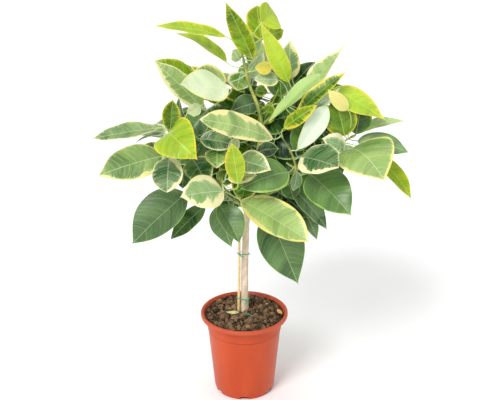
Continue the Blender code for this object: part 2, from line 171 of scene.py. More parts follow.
@dataclass(frozen=True)
class LeafFinish:
    """Waxy variegated ficus leaf: leathery, half glossy above and matte below, with a pale margin.

    Pale margins end in steps at the side veins, because a panel between two veins turns pale as one.
    """

    slot: Slot
    deep: str  # the two ends of its green
    pale: str
    fresh: str  # streaks along the side veins
    cream: str  # a young margin, and one that has yellowed
    yellow: str
    rib: str
    under: str  # the matte lower side
    fade: str  # the green beside a margin
    grey: float  # how far a cool green fades to grey
    drift: float  # how much the tone varies along a blade, and between its halves as painted shade
    mottle: float  # and from panel to panel
    flecks: float  # how strong the pale flecks beside a margin are
    vein: float
    roughness: float

    def make(self) -> bpy.types.Material:
        """Builds the material from the layers on each leaf.

        Returns:
            The material.
        """
        recipe = Recipe(f"waxy {self.slot.value}")
        add = recipe.add
        layers = [add("Attribute", {}, attribute_name=name) for name in LAYERS]
        layers = [add("SeparateXYZ", [(layer, "Vector")]) for layer in layers]
        (across, length, half), (margin, light, yellow), (under, seed, warm) = (
            [(layer, axis) for axis in "XYZ"] for layer in layers
        )
        off = add("Math", [across], operation="ABSOLUTE")
        right = add("Math", [across, 0.0], operation="GREATER_THAN")

        # How far along the side veins a point lies, so that every pattern can follow them
        bend = add("Math", [off, VEIN_CURVE, VEIN_SLOPE], operation="MULTIPLY_ADD")
        climb = add("Math", [bend, off], operation="MULTIPLY")
        along = add("Math", [length, climb], operation="SUBTRACT")
        sway = add("Math", [along, 0.05, seed], operation="MULTIPLY_ADD")
        stray = add("TexNoise", {"W": sway, "Scale": 1.0, "Detail": 0.0}, noise_dimensions="1D")
        along = add("Math", [stray, 16.0, along], operation="MULTIPLY_ADD")
        stagger = add("Math", [right, 0.5, seed], operation="MULTIPLY_ADD")
        turns = add("Math", [along, 1 / VEIN_SPACING, stagger], operation="MULTIPLY_ADD")
        panel = add("Math", [turns], operation="FLOOR")
        to_vein = add("Math", [turns], operation="FRACT")
        to_vein = add("Math", [to_vein, 0.5], operation="SUBTRACT")
        to_vein = add("Math", [to_vein], operation="ABSOLUTE")
        to_vein = add("Math", [to_vein, -VEIN_SPACING, VEIN_SPACING / 2], operation="MULTIPLY_ADD")
        edge = add("Math", [half, off], operation="SUBTRACT")

        # Noise drawn out along the side veins, in patches of 125 by 33 mm, 25 by 7 mm and 8 by 2 mm
        own = add("Math", [seed, 40.0], operation="MULTIPLY")
        flow = add("CombineXYZ", [across, along, own])
        patches = []
        for scale, detail in (((0.008, 0.03, 0.7), 1.0), ((0.04, 0.15, 0.7), 2.0), ((0.12, 0.5, 0.7), 2.0)):
            drawn = add("Mapping", {"Vector": flow, "Scale": scale})
            patches.append(add("TexNoise", {"Vector": drawn, "Scale": 1.0, "Detail": detail}))
        broad, wide, small = patches

        # One random number for each panel between two side veins, and one for each half as painted shade of
        # the fold
        cell = add("CombineXYZ", [panel, right, seed])
        chance = add("TexWhiteNoise", {"Vector": cell})
        painted_half_shade = add("TexWhiteNoise", {"Vector": add("CombineXYZ", [right, seed])})

        # Pale margin, broad in places and thin in others
        ragged = add("MapRange", [broad, 0.34, 0.66, 0.15, 1.5])
        ragged = add("Math", [chance, 0.3, ragged], operation="MULTIPLY_ADD")
        ragged = add("Math", [wide, 1.1, ragged], operation="MULTIPLY_ADD")
        ragged = add("Math", [ragged, -0.5], operation="ADD")
        limit = add("Math", [margin, ragged], operation="MULTIPLY")
        beyond = add("Math", [limit, edge], operation="SUBTRACT")
        rim = add("MapRange", [beyond, -0.7, 0.7], interpolation_type="SMOOTHSTEP")
        fleck = add("MapRange", [small, 0.6, 0.66, 0.0, self.flecks], interpolation_type="SMOOTHSTEP")
        near = add("MapRange", [beyond, -14.0, -2.0], interpolation_type="SMOOTHSTEP")
        fleck = add("Math", [fleck, near], operation="MULTIPLY")
        pale = add("Math", [rim, fleck], operation="MAXIMUM")

        # Two greens in the body, with fresher streaks that run along the side veins
        step = add("Math", [chance, 0.35, small], operation="MULTIPLY_ADD")
        step = add("Math", [step, -0.675], operation="ADD")
        tone = add("Math", [step, self.mottle, light], operation="MULTIPLY_ADD")
        # Painted shade: one half of the blade a step lighter or darker than the other, with tone that wanders
        # along it
        uneven = add("Math", [painted_half_shade, 0.2, broad], operation="MULTIPLY_ADD")
        uneven = add("Math", [uneven, -0.6], operation="ADD")
        tone = add("Math", [uneven, self.drift, tone], operation="MULTIPLY_ADD", use_clamp=True)
        body = add("Mix", {SHARE: tone, FIRST: self.deep, SECOND: self.pale}, data_type="RGBA")
        grey = add("Mix", {SHARE: tone, FIRST: ASH, SECOND: CHALK}, data_type="RGBA")
        grey = add("Mix", {SHARE: self.grey, FIRST: (body, BLEND), SECOND: (grey, BLEND)}, data_type="RGBA")
        olive = {SHARE: 1.0, FIRST: (body, BLEND), SECOND: OLIVE}
        olive = add("Mix", olive, data_type="RGBA", blend_type="MULTIPLY")
        body = add("Mix", {SHARE: warm, FIRST: (grey, BLEND), SECOND: (olive, BLEND)}, data_type="RGBA")
        streak = add("MapRange", [wide, 0.5, 0.66, 0.0, 0.6], interpolation_type="SMOOTHSTEP")
        streak = add("Math", [streak, warm], operation="MULTIPLY")
        halo = add("Math", [small, 16.0, beyond], operation="MULTIPLY_ADD")
        halo = add("MapRange", [halo, 2.0, 9.5, 0.0, 0.65], interpolation_type="SMOOTHSTEP")
        for share, over in ((streak, self.fresh), (halo, self.fade)):
            body = add("Mix", {SHARE: share, FIRST: (body, BLEND), SECOND: over}, data_type="RGBA")
        ripe = add("Math", [wide, 0.5, yellow], operation="MULTIPLY_ADD")
        ripe = add("Math", [ripe, -0.25], operation="ADD", use_clamp=True)
        border = add("Mix", {SHARE: ripe, FIRST: self.cream, SECOND: self.yellow}, data_type="RGBA")
        colour = add("Mix", {SHARE: pale, FIRST: (body, BLEND), SECOND: (border, BLEND)}, data_type="RGBA")

        # Veins: a pale midrib, fainter on the deepest greens, and side veins that fade towards the edge
        clear = add("MapRange", [light, -0.15, 0.2, 0.2, 0.6])
        midrib = add("MapRange", [off, MIDRIB_HALF * 0.6, MIDRIB_HALF * 1.8, clear, 0.0])
        side = add("MapRange", [to_vein, SIDE_VEIN_HALF * 0.4, SIDE_VEIN_HALF * 2.4, self.vein, 0.0])
        inside = add("MapRange", [edge, 1.0, 12.0])
        side = add("Math", [side, inside], operation="MULTIPLY")
        side = add("Math", [side, wide], operation="MULTIPLY")
        vein = add("Math", [midrib, side], operation="MAXIMUM")
        matte = add("Math", [under, 0.72], operation="MULTIPLY")
        for share, over in ((vein, self.rib), (matte, self.under)):
            colour = add("Mix", {SHARE: share, FIRST: (colour, BLEND), SECOND: over}, data_type="RGBA")

        # Leather: veins sunk, panels swollen between them, pores of 0.9 mm, coarser than the real 0.1
        pores = add("TexNoise", {"Vector": flow, "Scale": 1.1, "Detail": 3.0})
        swell = add("Math", [to_vein, 0.5 / VEIN_SPACING], operation="MULTIPLY")
        relief = add("Math", [pores, 0.16, swell], operation="MULTIPLY_ADD")
        relief = add("Math", [wide, 0.8, relief], operation="MULTIPLY_ADD")
        relief = add("Math", [vein, -0.3, relief], operation="MULTIPLY_ADD")
        bump = add("Bump", {"Strength": 0.5, "Distance": 1.2 * MM, "Height": relief})
        gloss = add("Math", [wide, 0.3, self.roughness - 0.15], operation="MULTIPLY_ADD")
        rough = add("Math", [under, 0.25, gloss], operation="MULTIPLY_ADD")
        recipe.feed(recipe.shader, {"Base Color": (colour, BLEND), "Roughness": rough, "Normal": bump})
        recipe.shader.inputs["IOR"].default_value = 1.38
        glow = add("BsdfTranslucent", {"Color": (colour, BLEND), "Normal": bump})
        mixed = add("MixShader", [0.12, recipe.shader, glow])
        recipe.feed(recipe.tree.nodes["Material Output"], {"Surface": mixed})
        return recipe.material


@dataclass(frozen=True)
class BarkFinish:
    """Ficus bark, thin and dry: beige with grey blotches, crossed by fine rings and corky dots."""

    slot: Slot
    light: str
    dark: str
    blotch: str
    blotch_from: float
    roughness: float

    def make(self) -> bpy.types.Material:
        """Builds the material on Object coordinates, in metres.

        Returns:
            The material.
        """
        recipe = Recipe(f"dry {self.slot.value}")
        add = recipe.add
        place = (add("TexCoord", {}), "Object")
        # Clouds of 12 mm, blotches of 24 mm, rings 3 mm apart and dots of 2 mm, coarser than the real 1
        grain = add("Mapping", {"Vector": place, "Scale": (1.0, 1.0, 0.35)})
        rings = add("Mapping", {"Vector": place, "Scale": (0.35, 0.35, 2.6)})
        cloud = add("TexNoise", {"Vector": grain, "Scale": 85.0, "Detail": 5.0, "Roughness": 0.6})
        patch = add("TexNoise", {"Vector": grain, "Scale": 42.0, "Detail": 3.0})
        ring = add("TexNoise", {"Vector": rings, "Scale": 130.0, "Detail": 3.0})
        dots = add("TexVoronoi", {"Vector": rings, "Scale": 190.0})
        shade = add("MapRange", [cloud, 0.33, 0.68])
        colour = add("Mix", {SHARE: shade, FIRST: self.dark, SECOND: self.light}, data_type="RGBA")
        blotch_full = self.blotch_from + 0.08
        spread = add("MapRange", [patch, self.blotch_from, blotch_full, 0.0, 0.75])
        line = add("MapRange", [ring, 0.3, 0.42, 0.4, 0.0])
        for share, over in ((spread, self.blotch), (line, self.dark)):
            colour = add("Mix", {SHARE: share, FIRST: (colour, BLEND), SECOND: over}, data_type="RGBA")
        cork = add("MapRange", [(dots, "Distance"), 0.08, 0.3, 0.5, 0.0])
        relief = add("Math", [ring, cork], operation="ADD")
        relief = add("Math", [cloud, 0.8, relief], operation="MULTIPLY_ADD")
        bump = add("Bump", {"Strength": 0.7, "Distance": 0.8 * MM, "Height": relief})
        look = {"Base Color": (colour, BLEND), "Roughness": self.roughness, "Normal": bump}
        recipe.feed(recipe.shader, look)
        return recipe.material


class CaneFinish:
    """Split bamboo cane: straw coloured, with long fibres and a faint shine on the skin."""

    def make(self) -> bpy.types.Material:
        """Builds the material on Object coordinates, with fibres along Z.

        Returns:
            The material.
        """
        recipe = Recipe("split bamboo")
        add = recipe.add
        place = (add("TexCoord", {}), "Object")
        # Fibres of 1.1 mm, coarser than the real 0.3 so that they show, and stains of 33 mm
        fibre = add("Mapping", {"Vector": place, "Scale": (1.0, 1.0, 0.02)})
        joint = add("Mapping", {"Vector": place, "Scale": (1.0, 1.0, 1.6)})
        streak = add("TexNoise", {"Vector": fibre, "Scale": 900.0, "Detail": 2.0})
        cloud = add("TexNoise", {"Vector": joint, "Scale": 30.0, "Detail": 3.0})
        shade = add("MapRange", [streak, 0.3, 0.7])
        colour = add("Mix", {SHARE: shade, FIRST: "#e2bd7a", SECOND: "#fbe6b4"}, data_type="RGBA")
        stain = add("MapRange", [cloud, 0.52, 0.72, 0.0, 0.55])
        colour = add("Mix", {SHARE: stain, FIRST: (colour, BLEND), SECOND: "#c08a45"}, data_type="RGBA")
        bump = add("Bump", {"Strength": 0.4, "Distance": 0.3 * MM, "Height": streak})
        recipe.feed(recipe.shader, {"Base Color": (colour, BLEND), "Roughness": 0.42, "Normal": bump})
        return recipe.material


@dataclass(frozen=True)
class PotFinish:
    """Thin injection-moulded polypropylene in terracotta red: half matte and faintly clouded.

    It is scuffed and dusty low down and chalky round the lip, with a painted shadow in a thin dark band under
    its collar.
    """

    scuffs_end: float = 0.07  # metres above the floor, as the two below
    seam: float = 0.1664
    lip: float = 0.198

    def make(self) -> bpy.types.Material:
        """Builds the material on Object coordinates, in metres.

        Returns:
            The material.
        """
        recipe = Recipe("moulded terracotta polypropylene")
        add = recipe.add
        place = (add("TexCoord", {}), "Object")
        height = add("SeparateXYZ", [place])
        # Clouds of 45 mm, specks of 2.4 mm and scuffs of 8 mm
        run = add("Mapping", {"Vector": place, "Scale": (1.0, 1.0, 0.3)})
        cloud = add("TexNoise", {"Vector": run, "Scale": 22.0, "Detail": 4.0})
        speck = add("TexNoise", {"Vector": place, "Scale": 420.0, "Detail": 2.0})
        scuff = add("TexNoise", {"Vector": place, "Scale": 130.0, "Detail": 5.0, "Roughness": 0.7})
        shade = add("MapRange", [cloud, 0.3, 0.7])
        colour = add("Mix", {SHARE: shade, FIRST: "#b94117", SECOND: "#c44b1e"}, data_type="RGBA")
        foot = add("MapRange", [(height, "Z"), 0.0, self.scuffs_end, 0.25, 0.0])
        worn = add("MapRange", [scuff, 0.52, 0.75])
        worn = add("Math", [worn, foot], operation="MULTIPLY")
        top = add("MapRange", [(height, "Z"), self.lip, self.lip + 10 * MM, 0.0, 0.3])
        chalk = add("MapRange", [speck, 0.45, 0.7])
        chalk = add("Math", [chalk, top], operation="MULTIPLY")
        # Painted shadow: a thin dark band just under the collar, where its ridge would shade the wall
        under_collar = add("Math", [(height, "Z"), self.seam], operation="SUBTRACT")
        under_collar = add("Math", [under_collar], operation="ABSOLUTE")
        painted_collar_shadow = add("MapRange", [under_collar, 0.6 * MM, 2.2 * MM, 0.5, 0.0])
        for share, over in ((worn, "#cf8260"), (chalk, "#dc9580"), (painted_collar_shadow, "#7c2a12")):
            colour = add("Mix", {SHARE: share, FIRST: (colour, BLEND), SECOND: over}, data_type="RGBA")
        rough = add("MapRange", [scuff, 0.3, 0.7, 0.34, 0.46])
        relief = add("Math", [speck, 0.25, cloud], operation="MULTIPLY_ADD")
        bump = add("Bump", {"Strength": 0.25, "Distance": 0.5 * MM, "Height": relief})
        recipe.feed(recipe.shader, {"Base Color": (colour, BLEND), "Roughness": rough, "Normal": bump})
        recipe.shader.inputs["Specular IOR Level"].default_value = 0.35
        return recipe.material


class SoilFinish:
    """Peaty potting soil: dry crumbs from near black to red-brown, each clod a little different."""

    def make(self) -> bpy.types.Material:
        """Builds the material on Object coordinates and on each clod's own shade, and on the darker painted
        shade of the body between the clods.

        Returns:
            The material.
        """
        recipe = Recipe("dry potting soil")
        add = recipe.add
        place = (add("TexCoord", {}), "Object")
        shade = add("SeparateXYZ", [(add("Attribute", {}, attribute_name="shade"), "Vector")])
        # Crumbs of 4 mm with grit in them, and patches of 21 mm
        crumb = add("TexNoise", {"Vector": place, "Scale": 260.0, "Detail": 5.0, "Roughness": 0.65})
        cloud = add("TexNoise", {"Vector": place, "Scale": 48.0, "Detail": 3.0})
        tone = add("Math", [crumb, 1.3, -0.55], operation="MULTIPLY_ADD")
        tone = add("Math", [cloud, 0.6, tone], operation="MULTIPLY_ADD")
        tone = add("Math", [tone, (shade, "X")], operation="ADD", use_clamp=True)
        dry = add("Mix", {SHARE: tone, FIRST: "#1a110a", SECOND: "#b08e6c"}, data_type="RGBA")
        ruddy = add("Mix", {SHARE: tone, FIRST: "#1f140c", SECOND: "#a98263"}, data_type="RGBA")
        both = {SHARE: (shade, "Y"), FIRST: (dry, BLEND), SECOND: (ruddy, BLEND)}
        colour = add("Mix", both, data_type="RGBA")
        chip = add("MapRange", [crumb, 0.7, 0.74, 0.0, 0.6])
        colour = add("Mix", {SHARE: chip, FIRST: (colour, BLEND), SECOND: "#c2a98a"}, data_type="RGBA")
        bump = add("Bump", {"Strength": 1.0, "Distance": 1.2 * MM, "Height": crumb})
        recipe.feed(recipe.shader, {"Base Color": (colour, BLEND), "Roughness": 0.95, "Normal": bump})
        recipe.shader.inputs["Specular IOR Level"].default_value = 0.2
        return recipe.material


@dataclass(frozen=True)
class PlainFinish:
    """A part too small to show a pattern of its own: two close colours in soft clouds."""

    name: str
    first: str
    second: str
    scale: float  # clouds in a metre
    roughness: float

    def make(self) -> bpy.types.Material:
        """Builds the material on Object coordinates, in metres.

        Returns:
            The material.
        """
        recipe = Recipe(self.name)
        add = recipe.add
        place = (add("TexCoord", {}), "Object")
        cloud = add("TexNoise", {"Vector": place, "Scale": self.scale, "Detail": 3.0})
        shade = add("MapRange", [cloud, 0.35, 0.65])
        colour = add("Mix", {SHARE: shade, FIRST: self.first, SECOND: self.second}, data_type="RGBA")
        bump = add("Bump", {"Strength": 0.3, "Distance": 0.2 * MM, "Height": cloud})
        look = {"Base Color": (colour, BLEND), "Roughness": self.roughness, "Normal": bump}
        recipe.feed(recipe.shader, look)
        return recipe.material


# ---------------------------------------------------------------------------------------------------
# Shapes that several sub-assemblies share
# ---------------------------------------------------------------------------------------------------


def mesh_object(name: str, bm: bmesh.types.BMesh, material: bpy.types.Material) -> bpy.types.Object:
    """Makes a finished mesh an object at the origin.

    Args:
        name: The piece's name.
        bm: Its shape, which is freed.
        material: Its one material.

    Returns:
        The object, in the scene.
    """
    mesh = bpy.data.meshes.new(name)
    bm.to_mesh(mesh)
    bm.free()
    mesh.shade_smooth()
    mesh.set_sharp_from_angle(angle=SHARP_ANGLE)
    mesh.materials.append(material)
    piece = bpy.data.objects.new(name, mesh)
    bpy.context.scene.collection.objects.link(piece)
    return piece


def closed_object(name: str, bm: bmesh.types.BMesh, material: bpy.types.Material) -> bpy.types.Object:
    """Makes closed shapes an object, with their faces turned outwards.

    Args:
        name: The piece's name.
        bm: Its shapes, which are freed.
        material: Its one material.

    Returns:
        The object, in the scene.
    """
    bmesh.ops.recalc_face_normals(bm, faces=bm.faces)
    return mesh_object(name, bm, material)


def in_fixed_order(cut: bpy.types.Mesh) -> bpy.types.Mesh:
    """Sorts a cut mesh's points and faces, as the cut leaves them in another order on each run.

    Args:
        cut: The mesh, which is removed.

    Returns:
        The same shape, without materials.
    """
    points = [tuple(vertex.co) for vertex in cut.vertices]
    order = sorted(range(len(points)), key=points.__getitem__)
    rank = {old: new for new, old in enumerate(order)}
    faces = []
    for polygon in cut.polygons:
        corners = [rank[index] for index in polygon.vertices]
        first = corners.index(min(corners))
        faces.append(corners[first:] + corners[:first])
    mesh = bpy.data.meshes.new("in_fixed_order")
    mesh.from_pydata([points[old] for old in order], [], sorted(faces))
    bpy.data.meshes.remove(cut)
    return mesh


def fit(piece: bpy.types.Object, slot: Slot, nodes: Sequence[str] = ()) -> None:
    """Rides a piece on the model's one body.

    Args:
        piece: The piece, in place.
        slot: The slot of its finish; not used.
        nodes: The model's nodes that it stands for.
    """
    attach(piece, "root")
    if nodes:
        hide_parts(*nodes)
    stands_for = ", ".join(nodes) or "no node"
    LOG.info("%s: %d faces, for %s", piece.name, len(piece.data.polygons), stands_for)


def smooth_route(points: Iterable[Triple], steps: int) -> Route:
    """Reads a Catmull-Rom curve through a route.

    Args:
        points: The route's points, in centimetres.
        steps: Points to read on each stretch.

    Returns:
        Points in metres, the last one included.
    """
    knots = [Vector(point) * CM for point in points]
    knots = [2 * knots[0] - knots[1], *knots, 2 * knots[-1] - knots[-2]]
    route = []
    for a, b, c, d in zip(knots, knots[1:], knots[2:], knots[3:]):
        for step in range(steps):
            t = step / steps
            square = 2 * a - 5 * b + 4 * c - d
            cube = 3 * b - a - 3 * c + d
            route.append(0.5 * (2 * b + (c - a) * t + square * t**2 + cube * t**3))
    return [*route, knots[-2]]


def point_along(route: Route, share: float) -> tuple[Vector, Vector]:
    """Finds a point on a route.

    Args:
        route: Points in metres.
        share: How far along its length.

    Returns:
        The point and the route's direction there.
    """
    lengths = [(b - a).length for a, b in zip(route, route[1:])]
    left = share * sum(lengths)
    for a, b, length in zip(route, route[1:], lengths):
        if left <= length:
            return a.lerp(b, left / length), (b - a).normalized()
        left -= length
    return route[-1], (route[-1] - route[-2]).normalized()


def nearest_share(route: Route, target: Vector) -> float:
    """Finds where on a route a point is nearest, as a share of the route's length."""
    shares = (step / 60 for step in range(61))
    return min(shares, key=lambda share: (point_along(route, share)[0] - target).length)


def sweep(bm: bmesh.types.BMesh, rings: Sequence[Ring], sides: int) -> list[bmesh.types.BMVert]:
    """Adds a round closed tube, by extruding a circle from ring to ring.

    Args:
        bm: Where it goes.
        rings: The centre, the direction and the radius of each ring.
        sides: Points round each ring.

    Returns:
        Every vertex of the tube, ring by ring.
    """
    centre, along, radius = rings[0]
    turn = along.to_track_quat("Z", "Y")
    place = Matrix.LocRotScale(centre, turn, Vector.Fill(3, radius))
    made = bmesh.ops.create_circle(bm, cap_ends=True, segments=sides, radius=1, matrix=place)
    verts = list(made["verts"])
    edges = list(dict.fromkeys(edge for vert in verts for edge in vert.link_edges))
    tube = list(verts)
    for centre, along_next, radius in rings[1:]:
        turn = along.rotation_difference(along_next) @ turn
        along = along_next
        there = Matrix.LocRotScale(centre, turn, Vector.Fill(3, radius))
        grown = bmesh.ops.extrude_edge_only(bm, edges=edges)["geom"]
        verts = [item for item in grown if isinstance(item, bmesh.types.BMVert)]
        edges = [item for item in grown if isinstance(item, bmesh.types.BMEdge)]
        bmesh.ops.transform(bm, matrix=there @ place.inverted(), verts=verts)
        place = there
        tube += verts
    bmesh.ops.edgeloop_fill(bm, edges=edges)
    return tube


def pour(bm: bmesh.types.BMesh, into: bmesh.types.BMesh) -> None:
    """Adds a finished shape to a larger one.

    Args:
        bm: The shape, which is freed.
        into: Where it goes.
    """
    mesh = bpy.data.meshes.new("poured")
    bm.to_mesh(mesh)
    bm.free()
    into.from_mesh(mesh)
    bpy.data.meshes.remove(mesh)


def route_rings(route: Route, radius: Sequence[float]) -> list[Ring]:
    """Sets rings along a route.

    Args:
        route: The rings' centres.
        radius: Each ring's radius.

    Returns:
        The rings, each square to the route.
    """
    ahead = [*route[1:], 2 * route[-1] - route[-2]]
    behind = [2 * route[0] - route[1], *route[:-1]]
    return [(p, (a - b).normalized(), r) for p, a, b, r in zip(route, ahead, behind, radius)]


def lathe(profile: Sequence[tuple[float, float]], steps: int) -> bmesh.types.BMesh:
    """Spins a closed body about the Z axis.

    Args:
        profile: Its half section, as radii and heights, from axis to axis.
        steps: Steps round it.

    Returns:
        The body, closed, with its faces outwards.
    """
    bm = bmesh.new()
    verts = [bm.verts.new((radius, 0, z)) for radius, z in profile]
    edges = [bm.edges.new(pair) for pair in zip(verts, verts[1:])]
    bmesh.ops.spin(
        bm, geom=verts + edges, axis=(0, 0, 1), cent=(0, 0, 0), steps=steps, angle=math.tau, use_merge=True
    )
    bmesh.ops.remove_doubles(bm, verts=bm.verts, dist=1e-6)
    bmesh.ops.recalc_face_normals(bm, faces=bm.faces)
    return bm


# ---------------------------------------------------------------------------------------------------
# Pot and soil
# ---------------------------------------------------------------------------------------------------


@dataclass
class Pot:
    """The round nursery pot: a thin tapered wall, a collar, a rolled lip and slots in its foot."""

    lip_radius: float
    height: float
    lip_height: float = 10.5 * MM
    wall: float = 1.8 * MM
    collar_radius: float = 93.5 * MM
    collar_depth: float = 42 * MM
    collar_foot: float = 89 * MM
    flare_depth: float = 17 * MM
    waist: tuple[float, float] = (85.5 * MM, 130 * MM)  # radius and height, as of the heel
    heel: tuple[float, float] = (73.6 * MM, 9 * MM)
    foot_radius: float = 71 * MM
    roll: float = 2.6 * MM  # radius of the lip's rounding
    ridge: float = 1.5 * MM  # how far the collar steps out
    slots: int = 6
    slot_depth: float = 12 * MM
    slot_width: float = 20 * MM
    slot_height: float = 8 * MM
    steps: int = 160

    def tapers(self) -> list[tuple[float, float]]:
        """Lists the outer wall's corners.

        Returns:
            Heights and radii, from the heel up.
        """
        return [
            (self.heel[1], self.heel[0]),
            (self.waist[1], self.waist[0]),
            (self.height - self.collar_depth, self.collar_foot),
            (self.height, self.collar_radius),
        ]

    def wall_radius(self, z: float) -> float:
        """Reads the wall's outer face.

        Args:
            z: A height.

        Returns:
            Its radius there.
        """
        tapers = self.tapers()
        for (low, low_radius), (high, high_radius) in zip(tapers, tapers[1:]):
            if z <= high:
                return low_radius + (high_radius - low_radius) * (z - low) / (high - low)
        return self.collar_radius

    def bore(self, z: float) -> float:
        """The wall's inner radius at a height, which widens below the lip."""
        flare = max(0, z - (self.height - self.flare_depth)) / 2
        return self.wall_radius(z) - self.wall + flare

    def profile(self) -> list[tuple[float, float]]:
        """Draws the wall's closed half section.

        Returns:
            Radii and heights, from the middle of the underside to the middle of the floor.
        """
        lip_z = self.height - self.lip_height
        collar_z = self.height - self.collar_depth
        flare_z = self.height - self.flare_depth
        roll = self.roll
        rim = [(self.lip_radius - roll, lip_z + roll, d) for d in (-80, -55, -30, 0)]
        rim += [(self.lip_radius - roll, self.height - roll, d) for d in (0, 25, 50, 75, 90)]
        rim += [(self.lip_radius - 1.9 * roll, self.height - roll, d) for d in (90, 115, 140, 165)]
        lip = [
            (radius + roll * math.cos(math.radians(d)), z + roll * math.sin(math.radians(d)))
            for radius, z, d in rim
        ]
        ridge = self.ridge
        steps = [self.heel[1] + (collar_z - self.heel[1]) * share / 8 for share in range(1, 8)]
        outside = [
            (0, 0.6 * MM),
            (self.foot_radius - 8 * MM, 0.6 * MM),
            (self.foot_radius - 6 * MM, 0),
            (self.foot_radius - 1.5 * MM, 0),
            (self.foot_radius, 1.5 * MM),
            (self.foot_radius + 0.4 * MM, self.heel[1] - 2 * MM),
            (self.heel[0] - 0.8 * MM, self.heel[1] - 0.6 * MM),
            (self.heel[0], self.heel[1] + 1 * MM),
            *((self.wall_radius(z), z) for z in steps),
            (self.wall_radius(collar_z), collar_z),
            (self.wall_radius(collar_z) + ridge, collar_z + 0.3 * ridge),
            (self.wall_radius(collar_z) + ridge, collar_z + 2 * ridge),
            (self.wall_radius(collar_z + 5 * ridge), collar_z + 4 * ridge),
            (self.wall_radius(flare_z), flare_z),
            (self.wall_radius(flare_z) + 1.2 * MM, flare_z + 3.6 * MM),
            (self.wall_radius(lip_z) + 3 * MM, lip_z),
        ]
        levels = (lip_z + 1.5 * MM, flare_z, collar_z, self.waist[1], self.heel[1])
        inside = [(self.bore(z), z) for z in levels]
        floor_radius = self.foot_radius - self.wall
        floor = [(floor_radius, self.heel[1] - 1 * MM), (floor_radius, self.wall), (0, self.wall)]
        return [*outside, *lip, *inside, *floor]

    def slot_cutters(self, material: bpy.types.Material) -> bpy.types.Object:
        """Makes one cutter for all the drain slots, with rounded corners.

        Args:
            material: The moulded plastic.

        Returns:
            The cutter.
        """
        bm = bmesh.new()
        size = Vector((self.slot_depth, self.slot_width, 2 * self.slot_height))
        for index in range(self.slots):
            turn = Quaternion(UP, math.tau * index / self.slots - math.pi / 2)
            centre = turn @ Vector((self.foot_radius, 0, 0))
            bmesh.ops.create_cube(bm, size=1, matrix=Matrix.LocRotScale(centre, turn, size))
        radial = [edge for edge in bm.edges if abs(edge.calc_length() - self.slot_depth) < 0.1 * MM]
        bmesh.ops.bevel(
            bm, geom=radial, offset=2 * MM, segments=3, profile=0.5, affect="EDGES", material=-1
        )
        return mesh_object("slot_cutters", bm, material)

    def build(self, material: bpy.types.Material) -> bpy.types.Object:
        """Models the pot.

        Args:
            material: The moulded plastic.

        Returns:
            The pot, with its slots cut.
        """
        pot = mesh_object("plastic_pot", lathe(self.profile(), self.steps), material)
        cutters = self.slot_cutters(material)
        cut = pot.modifiers.new("slots", "BOOLEAN")
        cut.object = cutters
        cut.operation = "DIFFERENCE"
        cut.solver = "EXACT"
        finished = pot.evaluated_get(bpy.context.evaluated_depsgraph_get())
        pot.data = in_fixed_order(bpy.data.meshes.new_from_object(finished))
        pot.modifiers.clear()
        bpy.data.objects.remove(cutters)
        pot.data.materials.append(material)
        pot.data.shade_smooth()
        pot.data.set_sharp_from_angle(angle=SHARP_ANGLE)
        return pot


